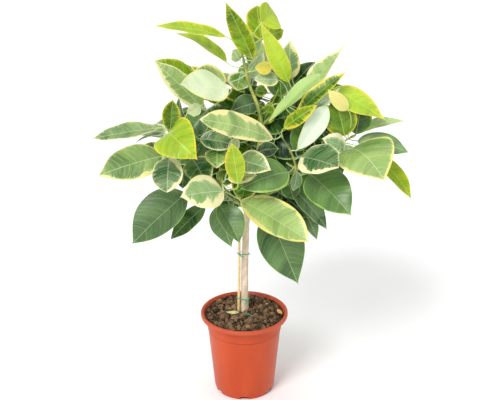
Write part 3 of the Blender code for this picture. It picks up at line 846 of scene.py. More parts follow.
@dataclass
class Soil:
    """The potting soil: a lumpy filled body with loose clods and dry root fibres on top."""

    pot: Pot
    edge_z: float = 204 * MM
    crown_z: float = 206 * MM
    gap: float = 0.4 * MM
    clods: int = 760
    clod_sizes: tuple[float, ...] = (1.4, 1.8, 2.2, 2.8, 3.4, 4.4, 5.6)  # radii in mm
    fibres: int = 90
    lumps: tuple[Triple, ...] = ((38, 3, 0), (150, 2.6, 3), (420, 1, 7))  # in a metre, mm high, which noise
    rings: int = 46
    steps: int = 150
    seed: int = 11

    def radius(self) -> float:
        """How far the soil's surface reaches, just inside the wall."""
        return self.pot.bore(self.edge_z) - self.gap

    def surface(self, x: float, y: float) -> float:
        """Reads the soil's top: a low mound with hollows a few centimetres wide.

        Args:
            x: Metres to the right of the pot's middle.
            y: Metres behind it.

        Returns:
            The height there.
        """
        share = min(1.0, math.hypot(x, y) / self.radius())
        top = self.edge_z + (self.crown_z - self.edge_z) * (1 - share**2)
        for turns, rise, layer in self.lumps:
            top += rise * MM * noise.noise(Vector((x, y, layer)) * turns)
        return top

    def body(self) -> bmesh.types.BMesh:
        """Fills the pot, and moves the top to the lumpy surface.

        Returns:
            The filled body.
        """
        top = [(self.radius() * ring / self.rings, self.edge_z) for ring in range(self.rings, 0, -1)]
        depth = self.pot.height - self.pot.flare_depth
        low = self.pot.bore(depth) - self.gap
        bm = lathe([(0, depth), (low, depth), *top, (0, self.edge_z)], self.steps)
        for vert in bm.verts:
            if vert.co.z > depth + MM:
                vert.co.z = self.surface(vert.co.x, vert.co.y)
            inside = (self.pot.bore(vert.co.z) - self.gap - 0.1 * MM) / max(vert.co.xy.length, MM)
            vert.co.xy *= min(1, inside)
        return bm

    def clod(self, rng: random.Random) -> bmesh.types.BMesh:
        """Shapes one clod that rests in the surface.

        Args:
            rng: Where it takes its place, size and turn from.

        Returns:
            The clod.
        """
        bm = bmesh.new()
        size = rng.choice(self.clod_sizes) * MM * rng.uniform(0.8, 1.25)
        reach = (self.radius() - 2 * MM - size) * math.sqrt(rng.random())
        angle = rng.uniform(0, math.tau)
        x, y = reach * math.cos(angle), reach * math.sin(angle)
        centre = Vector((x, y, self.surface(x, y) + size * rng.uniform(-0.1, 0.35)))
        turn = Quaternion([rng.uniform(-1, 1) for _ in range(4)]).normalized()
        shape = Vector([rng.uniform(0.65, 1.25) for _ in range(3)])
        verts = bmesh.ops.create_icosphere(bm, subdivisions=2, radius=size)["verts"]
        offset = Vector([rng.uniform(-50, 50) for _ in range(3)])
        for vert in verts:
            bulge = 1 + 0.5 * noise.noise(vert.co / size * 1.3 + offset)
            bulge += 0.3 * noise.noise(vert.co / size * 3.1 + offset)
            vert.co = centre + turn @ (vert.co * bulge * shape)
        return bm

    def fibre(self, rng: random.Random) -> bmesh.types.BMesh:
        """Shapes one dry root fibre, a thin bent thread on the surface.

        Args:
            rng: Where it takes its place and bend from.

        Returns:
            The fibre.
        """
        bm = bmesh.new()
        reach = 0.9 * self.radius() * math.sqrt(rng.random())
        angle, heading = rng.uniform(0, math.tau), rng.uniform(0, math.tau)
        point = Vector((reach * math.cos(angle), reach * math.sin(angle), 0))
        route = []
        for _ in range(5):
            z = self.surface(point.x, point.y) + rng.uniform(1, 3) * MM
            route.append(Vector((point.x, point.y, z)))
            heading += rng.uniform(-0.6, 0.6)
            point += Vector((math.cos(heading), math.sin(heading), 0)) * rng.uniform(1.2, 2.6) * MM
        thick = rng.uniform(0.25, 0.5) * MM
        sweep(bm, route_rings(route, [thick * k for k in (0.5, 1, 1, 0.9, 0.4)]), 5)
        return bm

    def build(self, material: bpy.types.Material) -> bpy.types.Object:
        """Models the soil.

        Args:
            material: The soil's finish, which reads the shade of each clod and the painted shade of the body
                between them.

        Returns:
            The soil, with clods and fibres.
        """
        rng = random.Random(self.seed)
        bm = self.body()
        shade = bm.verts.layers.float_vector.new("shade")
        # Painted shade: the body under the clods is darker than they are, for the gaps between the clods
        for vert in bm.verts:
            vert[shade] = (-0.3, 0.3, 0)
        for index in range(self.clods + self.fibres):
            if index < self.clods:
                tone = Vector((rng.gauss(0.0, 0.16), max(0, rng.gauss(0.25, 0.35)), 0))
                piece = self.clod(rng)
            else:
                tone = Vector((rng.uniform(0.2, 0.5), rng.random(), 0))
                piece = self.fibre(rng)
            own = piece.verts.layers.float_vector.new("shade")
            for vert in piece.verts:
                vert[own] = tone
            bmesh.ops.recalc_face_normals(piece, faces=piece.faces)
            pour(piece, bm)
        soil = mesh_object("potting_soil", bm, material)
        soil.data.shade_flat()
        return soil


# ---------------------------------------------------------------------------------------------------
# Wood, cane and ties
# ---------------------------------------------------------------------------------------------------

TRUNK = [(0.1, 1.2, 14), (0.1, 1.2, 22), (0.1, 1.2, 30), (0.3, 1.2, 38), (0.6, 1, 46), (1, 0.5, 54)]
CANE = [(-1.5, 0.9, 11), (-1.4, 0.8, 20), (-1.2, 0.6, 34), (-1.1, 0.3, 46)]

# Branch: (radius at the root in mm, route in cm)
BRANCHES = {
    "top": (
        5,
        [(1.3, 0.1, 54.6), (3, -1.5, 63), (4, -3, 71), (3, -3, 76)]
        + [(1.4, -1, 79.5), (0.4, 0, 83), (-0.3, 0, 87)],
    ),
    "front": (4, [(0.2, -0.9, 50), (-1, -5, 52), (-3.5, -9, 55.5), (-4.6, -12, 58.6), (-4.8, -12.6, 61)]),
    "right": (4.5, [(1.9, 0.2, 51), (7, -1.5, 56), (14, -3, 61), (20, -4, 65), (24, -5, 68.5)]),
    "left": (4.5, [(-0.7, 1, 49), (-5, 0, 54), (-11, -2.5, 61), (-15.5, -4.5, 67), (-17.5, -5, 71)]),
    "front_right": (
        4,
        [(1.7, -0.7, 52), (6, -4, 54.5), (10, -7, 58), (11.8, -8, 62), (10.5, -9, 67), (8, -10, 71.5)],
    ),
    "upper_left": (3.5, [(2.3, -0.9, 62.5), (-2, -1.5, 66), (-6, -3, 70), (-9.5, -4, 75)]),
    "upper_right": (3, [(4.8, -2.8, 71.5), (8, -2.6, 74.5), (12, -2, 77), (17, -1, 79)]),
    "back": (4.5, [(0.8, 2, 50.5), (0, 6, 55), (-1, 11, 61), (0, 14.5, 67), (1, 15.5, 73)]),
}

# Short side twigs and cut stubs that carry leaves, and the leader's thick end: radius in mm, route in cm
TWIGS = [
    (1.6, [(-0.1, 0, 83), (1.6, 0, 82), (3, 0, 83.4)]),
    (4.2, [(3.7, -2.6, 73), (3, -3, 76), (1.4, -1, 79.5), (0.4, 0, 83), (-0.1, 0, 86)]),
    (2.2, [(-4.8, -11.6, 59.4), (-5.3, -10.4, 60.2), (-5.6, -9.8, 61.2)]),
    (2.4, [(11.6, -8, 62.4), (10.4, -8.8, 63.4), (9.6, -9.3, 64.2)]),
    (1.6, [(-4.4, -11.8, 58.6), (-2.6, -12.4, 58.9), (-1, -12.8, 59)]),
    (1.6, [(3.6, -3, 73.5), (5.2, -5, 75), (6.6, -6.4, 78), (7.8, -6.8, 81)]),
]


def tapered(radius: float, taper: float, count: int) -> list[float]:
    """Radii that change evenly from a radius to a share of it."""
    return [radius * (1 + (taper - 1) * index / (count - 1)) for index in range(count)]


def swelling(z: float, middle: float, reach: float) -> float:
    """How much of a round swelling there is at a height, from 1 at its middle to 0 well past its reach."""
    return math.exp(-(((z - middle) / reach) ** 2))


@dataclass
class Stem:
    """The bare stem: a slightly bent trunk with old leaf scars and a flared foot."""

    radius: float = 9.3 * MM
    taper: float = 0.81
    sides: int = 28
    steps: int = 22
    flare: float = 1.6 * MM
    flare_reach: float = 0.012
    soil_z: float = 0.207
    scars: int = 14
    first_scar: float = 0.2
    scar_spacing: float = 0.028
    scar_reach: float = 0.0022
    relief: float = 0.35 * MM
    seed: int = 4

    def build(self, material: bpy.types.Material) -> bpy.types.Object:
        """Models the trunk.

        Args:
            material: Its bark.

        Returns:
            The trunk.
        """
        rng = random.Random(self.seed)
        route = smooth_route(TRUNK, self.steps)
        scars = [
            self.first_scar + self.scar_spacing * index + rng.uniform(-0.006, 0.006)
            for index in range(self.scars)
        ]
        radii = []
        for point, thick in zip(route, tapered(self.radius, self.taper, len(route))):
            scar = sum(swelling(point.z, z, self.scar_reach) for z in scars)
            foot = self.flare * swelling(point.z, self.soil_z, self.flare_reach)
            wave = 0.25 * MM * noise.noise(Vector((0, 0, point.z * 60)))
            radii.append(thick + self.relief * scar + foot + wave)
        radii[-1] *= 0.7
        bm = bmesh.new()
        for vert in sweep(bm, route_rings(route, radii), self.sides):
            lump = noise.noise(Vector((vert.co.x * 120, vert.co.y * 120, vert.co.z * 45)))
            vert.co += self.relief * lump * Vector((vert.co.x, vert.co.y, 0)).normalized()
        return closed_object("stem", bm, material)


@dataclass
class Branches:
    """The young green branches, their twigs and the buds at their ends."""

    taper: float = 0.4
    sides: int = 14
    steps: int = 12
    depth: float = 5 * MM  # how deep a branch starts in the wood below
    collar: float = 1.12  # how much thicker it is there
    node_spacing: float = 0.024
    node_swell: float = 0.14

    def routes(self) -> dict[str, Route]:
        """Each branch's route, read as in the part's own source."""
        return {name: smooth_route(points, 3) for name, (_, points) in BRANCHES.items()}

    def radius(self, name: str, share: float) -> float:
        """A branch's radius at a share of its length."""
        return BRANCHES[name][0] * MM * (1 + (self.taper - 1) * share)

    def socket(self, name: str, root: Vector, routes: dict[str, Route]) -> Vector:
        """Finds where a branch leaves the wood that carries it.

        Args:
            name: The branch.
            root: The first point of its route.
            routes: Every branch's route.

        Returns:
            A point inside the wood below, where the branch's visible route starts.
        """
        carrier = routes["top"] if name.startswith("upper") else smooth_route(TRUNK, 6)
        point, along = point_along(carrier, nearest_share(carrier, root))
        return point - self.depth * along

    def add_branch(self, bm: bmesh.types.BMesh, route: Route, thick: float, thin: float) -> None:
        """Adds one branch with its nodes, thicker rings where leaves have grown.

        Args:
            bm: Where it goes.
            route: Its points in metres.
            thick: Its radius at the root.
            thin: Its radius at the end.
        """
        lengths = [0.0]
        for a, b in zip(route, route[1:]):
            lengths.append(lengths[-1] + (b - a).length)
        radii = []
        for length in lengths:
            radius = thick + (thin - thick) * length / lengths[-1]
            node = 0.5 + 0.5 * math.cos(math.tau * length / self.node_spacing)
            waver = noise.noise(Vector((length * 90, thick * 999, 0)))
            radii.append(radius * (1 + self.node_swell * node**8) + 0.15 * MM * waver)
        radii[-1] *= 0.5
        sweep(bm, route_rings(route, radii), self.sides)

    def add_bud(self, bm: bmesh.types.BMesh, route: Route, radius: float) -> None:
        """Adds the pointed bud at a branch's end.

        Args:
            bm: Where it goes.
            route: The branch's route.
            radius: The branch's radius there.
        """
        along = (route[-1] - route[-2]).normalized()
        length = 11 * radius
        rings = []
        for share, thick in ((0, 0.8), (0.15, 1.25), (0.4, 1.2), (0.7, 0.7), (1, 0.08)):
            rings.append((route[-1] + along * length * (share - 0.1), along, radius * thick))
        sweep(bm, rings, 10)

    def build(self, material: bpy.types.Material) -> bpy.types.Object:
        """Models all the branches as one piece, because they grew as one.

        Args:
            material: Their green bark.

        Returns:
            The branches.
        """
        bm = bmesh.new()
        routes = self.routes()
        for name, (radius, points) in BRANCHES.items():
            fine = smooth_route(points, self.steps)
            socket = self.socket(name, fine[0], routes)
            start = [socket.lerp(fine[0], share) for share in (0, 0.35, 0.7)]
            thin = radius * MM * self.taper
            self.add_branch(bm, [*start, *fine], radius * MM * self.collar, thin)
            self.add_bud(bm, fine, thin)
        for radius, points in TWIGS:
            self.add_branch(bm, smooth_route(points, self.steps), radius * MM, radius * MM * 0.75)
        return closed_object("branches", bm, material)


@dataclass
class Cane:
    """The bamboo cane: a split stick with two joints and a square-cut top."""

    radius: float = 3.5 * MM
    taper: float = 0.85
    sides: int = 18
    joints: tuple[float, ...] = (0.262, 0.405)  # their heights
    joint_reach: float = 0.0025
    joint_swell: float = 0.45 * MM

    def build(self, material: bpy.types.Material) -> bpy.types.Object:
        """Models the cane.

        Args:
            material: The bamboo.

        Returns:
            The cane.
        """
        route = smooth_route(CANE, 30)
        radii = []
        for point, thick in zip(route, tapered(self.radius, self.taper, len(route))):
            ring = sum(swelling(point.z, z, self.joint_reach) for z in self.joints)
            radii.append(thick + self.joint_swell * ring)
        bm = bmesh.new()
        sweep(bm, route_rings(route, radii), self.sides)
        return closed_object("bamboo_cane", bm, material)


@dataclass
class Ties:
    """The green ties: a slack loop round stem and cane, its ends twisted together and cut short."""

    radius: float = 0.95 * MM
    gap: float = 0.5 * MM
    end: float = 11 * MM  # length of the twisted ends
    wound: float = 0.6  # share of them that is twisted
    turns: float = 1.6
    bend_steps: int = 12
    end_steps: int = 15
    sides: int = 8

    def loop(self, stem: Route, stick: Route, z: float, lift: float) -> Route:
        """Lays one loop.

        Args:
            stem: The trunk's route.
            stick: The cane's route.
            z: The loop's height at the stem.
            lift: How much it climbs for each metre towards the cane.

        Returns:
            A closed smooth run of points.
        """
        centre = min(stem, key=lambda point: abs(point.z - z)).copy()
        cane = min(stick, key=lambda point: abs(point.z - z)).copy()
        centre.z = cane.z = z
        across = (cane - centre).normalized()
        side = UP.cross(across)
        run = []
        bends = ((centre, Stem.radius, math.pi / 2), (cane, Cane.radius, -math.pi / 2))
        for middle, radius, start in bends:
            reach = radius + self.radius + self.gap
            for step in range(self.bend_steps + 1):
                angle = start + math.pi * step / self.bend_steps
                point = middle + reach * (math.cos(angle) * across + math.sin(angle) * side)
                point.z += lift * (point - centre).dot(across)
                run.append(point)
        return [*run, run[0]]

    def twist(self, start: Vector, out: Vector, drop: Vector) -> list[Route]:
        """Winds two short ends about each other.

        Args:
            start: Where the ends leave the loop.
            out: Their direction away from the stem.
            drop: Their direction once they hang.

        Returns:
            Each end's points.
        """
        ends = []
        for phase in (0, math.pi):
            run = []
            for step in range(self.end_steps + 1):
                share = step / self.end_steps
                middle = start + self.end * (out * share * (1 - share / 2) + drop * share**1.5)
                spin = phase + math.tau * self.turns * min(share, self.wound)
                spread = self.radius * (1.05 + 2.5 * max(0, share - self.wound))
                away = out.cross(drop).normalized() * math.cos(spin) + out * math.sin(spin)
                run.append(middle + spread * away)
            ends.append(run)
        return ends

    def build(
        self, name: str, z: float, lift: float, drop: Vector, material: bpy.types.Material
    ) -> bpy.types.Object:
        """Models one tie.

        Args:
            name: The piece's name.
            z: Its height on the stem.
            lift: Its climb towards the cane.
            drop: Where its ends point.
            material: The green wire.

        Returns:
            The tie.
        """
        run = self.loop(smooth_route(TRUNK, 8), smooth_route(CANE, 8), z, lift)
        bm = bmesh.new()
        sweep(bm, route_rings(run, [self.radius] * len(run)), self.sides)
        front = min(run, key=lambda point: point.y)
        knot = front + Vector((0.6, -0.4, 0)) * self.radius
        bead = bmesh.ops.create_icosphere(bm, subdivisions=2, radius=2.1 * self.radius)["verts"]
        bmesh.ops.scale(bm, vec=(1.2, 0.8, 0.9), verts=bead)
        bmesh.ops.translate(bm, vec=knot, verts=bead)
        for end in self.twist(knot, Vector((0.25, -0.9, 0)).normalized(), drop):
            sweep(bm, route_rings(end, [self.radius * 0.8] * len(end)), 6)
        return closed_object(name, bm, material)

    def build_scrap(self, material: bpy.types.Material) -> bpy.types.Object:
        """Models the cut end of tie that lies on the soil.

        Args:
            material: The green wire.

        Returns:
            The cut end.
        """
        route = smooth_route([(0.2, -1, 21.2), (1, -1.6, 21), (2, -2.3, 20.9), (2.8, -2.6, 20.9)], 6)
        bm = bmesh.new()
        sweep(bm, route_rings(route, [self.radius] * len(route)), self.sides)
        return closed_object("tie_offcut", bm, material)


# ---------------------------------------------------------------------------------------------------
# Leaves
# ---------------------------------------------------------------------------------------------------


@dataclass(frozen=True)
class Leaf:
    """One leaf, in centimetres: where it leaves its branch, where its blade runs and how it is turned."""

    branch: str
    at: float  # share of the branch's length
    base: Triple
    tip: Triple
    face: Triple  # where the upper side looks
    width: float
    fold: float  # degrees that each half rises from flat
    arch: float  # height of the midrib's bow, as a share of the blade's length
    point: float = 0.9  # higher is a more drawn-out tip

    def ends(self) -> tuple[Vector, Vector]:
        """Where its blade starts and ends, in metres."""
        return Vector(self.base) * CM, Vector(self.tip) * CM

    def up(self, ahead: Vector) -> Vector:
        """Where its upper side looks, square to a direction along it."""
        face = Vector(self.face).normalized()
        return (face - face.project(ahead)).normalized()


@dataclass(frozen=True)
class Look:
    """How one leaf is coloured: its pale margins in mm, then shares from 0 to 1."""

    slot: Slot
    left: float
    right: float
    light: float  # from the deepest to the palest green
    yellow: float  # of the margin
    warm: float = 0.5  # from a grey green to an olive one


LIME, MIXED, DARK, CREAM = Slot.LEAF_LIME, Slot.LEAF_VARIEGATED, Slot.LEAF_DARK, Slot.LEAF_CREAM

LEAVES = {
    "top_1": Leaf("top", 0.99, (-4, 0, 91), (-20.2, -2, 94.1), (0, -2, 5), 4.2, 12, 0.045),
    "top_2": Leaf("top", 0.9, (-4, 3, 84), (-16, 6, 90), (0, 0, 1), 6.5, 12, 0.08),
    "top_3": Leaf("top", 0.96, (2, -2, 86.5), (-4.1, -6, 101), (-1, -3, 0), 5, 12, -0.02, 1.1),
    "top_4": Leaf("top", 0.86, (4, 4, 88.8), (3, 9, 95.7), (1, -3, 1), 6.6, 15, -0.03, 0.6),
    "top_5": Leaf("top", 0.98, (4, -2.2, 94.8), (7, 4.8, 95.2), (1, -1, 1), 6.8, 15, 0.05),
    "top_6": Leaf("upper_right", 0.6, (10.1, -5, 82), (3.3, -6, 96.9), (1, -4, 1), 4.4, 8, 0, 1.3),
    "upper_1": Leaf("upper_left", 0.97, (-3.5, -6, 80.8), (-14, -12, 84), (0, -3, 5), 9.6, 8, -0.02, 1),
    "upper_2": Leaf("upper_left", 0.99, (-9.2, 0, 73.6), (-20.5, 2, 84.7), (0, -1, 1), 5.6, 12, 0.03),
    "upper_3": Leaf("front_right", 0.98, (6.5, -12, 71.1), (-9.5, -18, 78), (0, -1, 1), 6.4, 10, 0.07, 0.5),
    "upper_4": Leaf("upper_right", 0.2, (6.2, -8, 74.2), (17, -9, 85.3), (-1, 2, 1), 4.4, 12, 0.02, 0.4),
    "upper_5": Leaf("upper_right", 0.4, (12, -5, 74.4), (23.1, -3, 83.8), (0, -1, 2), 3.9, 20, 0.03),
    "upper_6": Leaf("upper_right", 0.9, (15.2, 2, 78.2), (24, 4, 89), (-1, -1, 1), 5.4, 25, 0, 2),
    "left_1": Leaf("left", 0.97, (-20, 0, 69), (-35.4, -2, 67), (0, -1, 4), 6.2, 10, 0.02, 1),
    "left_2": Leaf("left", 0.8, (-18.4, -5, 64.1), (-33, -12, 62), (0, -1, 1), 8.8, 10, 0.06),
    "left_3": Leaf("left", 0.93, (-17, -8, 71), (-10.1, -18, 68.5), (-6, -3, 8), 10, 10, 0.25),
    "left_4": Leaf("left", 0.99, (-16.7, -6, 70.8), (-15.9, -7, 78.5), (0, -1, 0), 4.1, 22, 0, 0.6),
    "left_5": Leaf("left", 0.7, (-16.9, -9, 65.4), (-17, -18, 60.7), (0, -1, 1), 6.9, 12, 0.1, 0.4),
    "left_6": Leaf("left", 0.6, (-11.8, -5, 63.3), (-8, -12.5, 59.5), (0, -1, 1), 6.6, 12, 0.12),
    "left_7": Leaf("left", 0.4, (-13.4, -6, 55.2), (-25.8, -12, 45), (-3, -8, 7), 10.6, 20, 0.03),
    "left_8": Leaf("left", 0.3, (-9.1, -4, 51.2), (-17.2, -8, 44.2), (-1, -2, 1), 4.6, 10, 0.04),
    "front_1": Leaf("front", 0.96, (-1.3, -18, 62.9), (-2.6, -19, 72.9), (0, -1, 0), 4.4, 15, -0.03, 0.8),
    "front_2": Leaf("front", 0.99, (-1.5, -12, 66), (6.1, -17, 65.6), (0, -1, 1), 6, 10, 0.08),
    "front_3": Leaf("front_right", 0.65, (10.1, -10, 62.2), (-0.8, -15, 60.1), (0, -1, 1), 8.2, 10, 0.14),
    "front_4": Leaf("front", 0.93, (-4.6, -14, 59.2), (-14, -20, 60.5), (0, -1, 1), 8.4, 6, 0.06),
    "front_5": Leaf("front", 0.5, (-6, -6, 52), (-2.8, -10, 43), (-1, -3, 1), 6.4, 10, 0.03, 1.2),
    "front_6": Leaf("front", 0.65, (-5.6, -11, 54.4), (-1, -16, 47.2), (5, -8, 6), 6.4, 30, 0.05),
    "front_7": Leaf("front", 0.8, (-0.6, -10, 55.2), (14.5, -22, 50.5), (2, -8, 7), 8.5, 20, 0.04, 0.6),
    "front_8": Leaf(
        "front_right", 0.2, (5.5, -8, 51.5), (12.6, -14, 35.6), (0.2, -3, 1), 10.6, 8, 0.05, 1.05
    ),
    "right_1": Leaf("upper_right", 0.97, (20.4, 0, 78.7), (32.1, -8, 73.9), (0, -1, 2), 7.2, 3, 0.02, 1.3),
    "right_2": Leaf("right", 0.92, (27.5, 1, 68), (38, -1, 71), (0, -1, 3), 3.8, 12, 0.1, 1.5),
    "right_3": Leaf("right", 0.99, (26.2, -2, 66.6), (38, -4, 64.5), (0, -2, 3), 5.8, 12, 0.08),
    "right_4": Leaf("right", 0.95, (30.6, -6, 64.3), (38.3, -10, 55.5), (1, -2, 2), 4.4, 12, 0.08),
    "right_5": Leaf("right", 0.88, (24.5, -6, 66.3), (31, -21, 64.6), (-4, -10, 24), 13.8, 8, 0.14),
    "right_6": Leaf(
        "front_right", 0.72, (12.9, -10, 65.9), (20.8, -20, 67.5), (0, -1, 1), 8.8, 8, 0.05, 0.65
    ),
    "right_7": Leaf("front_right", 0.5, (15.1, -8, 60.8), (24, -18, 55), (0, -1, 1), 10, 10, 0.1),
    "right_8": Leaf("front_right", 0.8, (12.3, -8, 67), (18.9, -4, 76), (0, -1, 0), 4.8, 10, 0.05, 0.45),
    "right_9": Leaf("right", 0.35, (11, -4, 56), (19.3, -8, 46.8), (1, -1, 1), 6, 12, 0.05),
    "back_1": Leaf("back", 0.3, (-6, 12, 53), (-15, 22, 47), (-1, 1, 2), 9, 10, 0.1),
    "back_2": Leaf("back", 0.4, (7, 13, 54), (17, 22, 47), (1, 1, 2), 9, 10, 0.1),
    "back_3": Leaf("back", 0.7, (-4, 18, 63), (-14, 29, 60), (-1, 1, 2), 9, 10, 0.1),
    "back_4": Leaf("back", 0.8, (6, 18, 65), (15, 29, 62), (1, 1, 2), 9, 10, 0.1),
    "back_5": Leaf("back", 0.97, (0, 20, 71), (-3, 31, 69), (0, 0, 1), 8, 12, 0.1),
    "back_6": Leaf("left", 0.85, (-19, 4, 65), (-28, 15, 61), (-1, 1, 2), 8.5, 10, 0.1),
    "back_7": Leaf("right", 0.8, (20, 4, 67), (29, 16, 64), (1, 1, 2), 8.5, 10, 0.1),
}

LOOKS = {
    "top_1": Look(LIME, 1, 2.3, 0.65, 0.6, 0.9),
    "top_2": Look(LIME, 2, 1, 0.6, 0.8, 0.9),
    "top_3": Look(LIME, 0.7, 1, 0.3, 1, 1),
    "top_4": Look(LIME, 3.2, 0.8, 0.42, 0.8, 1),
    "top_5": Look(LIME, 1, 1, 0.85, 1, 0.7),
    "top_6": Look(LIME, 1.3, 1.3, 0.95, 0.7, 0.7),
    "upper_1": Look(CREAM, 2, 1.5, 0.84, 1, 0.25),
    "upper_2": Look(MIXED, 7, 1.5, 0.6, 0.25, 0.5),
    "upper_3": Look(MIXED, 5, 8, 0.7, 0.45, 0.5),
    "upper_4": Look(LIME, 0.5, 0.5, 1, 0.2, 0),
    "upper_5": Look(LIME, 3, 1, 0.05, 1, 0.4),
    "upper_6": Look(MIXED, 5, 3, 0.8, 0.15, 0.5),
    "left_1": Look(MIXED, 3, 1, 0.42, 0.35, 0.4),
    "left_2": Look(MIXED, 7, 1.2, 0.4, 0.6, 0.5),
    "left_3": Look(LIME, 3.2, 2, 0.75, 1, 0.8),
    "left_4": Look(LIME, 1.2, 1.5, 0.08, 1, 0.2),
    "left_5": Look(MIXED, 8, 1.5, 0.3, 0.1, 0.1),
    "left_6": Look(MIXED, 4.5, 2, 0.22, 0.7, 0.7),
    "left_7": Look(DARK, 0.8, 0.8, 0.42, 0.5, 0.25),
    "left_8": Look(DARK, 0.5, 0.5, 0.42, 0.8, 0.5),
    "front_1": Look(LIME, 2.6, 0.5, 0.62, 1, 0.8),
    "front_2": Look(MIXED, 3.5, 3, 0.3, 0.2, 0.4),
    "front_3": Look(DARK, 4, 1, 0.7, 0.8, 0.5),
    "front_4": Look(CREAM, 19, 8, 0.15, 0.25, 0.3),
    "front_5": Look(DARK, 0.6, 0.6, 0.5, 0.6, 0.3),
    "front_6": Look(DARK, 0.6, 0.6, 0.6, 0.6, 0.3),
    "front_7": Look(MIXED, 6, 6.5, 0.76, 0.85, 0.6),
    "front_8": Look(DARK, 0.8, 0.8, 0.36, 0.8, 0.3),
    "right_1": Look(LIME, 3.9, 1.3, 0.75, 0.9, 0.8),
    "right_2": Look(MIXED, 0.8, 0.8, 0.9, 0.2, 0.4),
    "right_3": Look(DARK, 1, 1, 0.7, 0.2, 0.1),
    "right_4": Look(LIME, 0.6, 0.6, 0.58, 1, 1),
    "right_5": Look(MIXED, 5.5, 5, 0.6, 0.8, 0.6),
    "right_6": Look(MIXED, 1, 12, 0.1, 0.05, 0.3),
    "right_7": Look(DARK, 0.8, 3, 0.6, 0.8, 0.5),
    "right_8": Look(CREAM, 0.5, 0.5, 1, 0, 0),
    "right_9": Look(DARK, 0.8, 0.8, 0.45, 0.3, 0.1),
    "back_1": Look(DARK, 0.8, 0.8, 0.5, 0.6),
    "back_2": Look(DARK, 0.8, 1.2, 0.4, 0.6),
    "back_3": Look(MIXED, 4, 2, 0.4, 0.4),
    "back_4": Look(DARK, 1, 2.5, 0.6, 0.8),
    "back_5": Look(LIME, 2, 1.3, 0.6, 0.9),
    "back_6": Look(MIXED, 2, 5, 0.45, 0.3),
    "back_7": Look(MIXED, 4, 4, 0.5, 0.4),
}

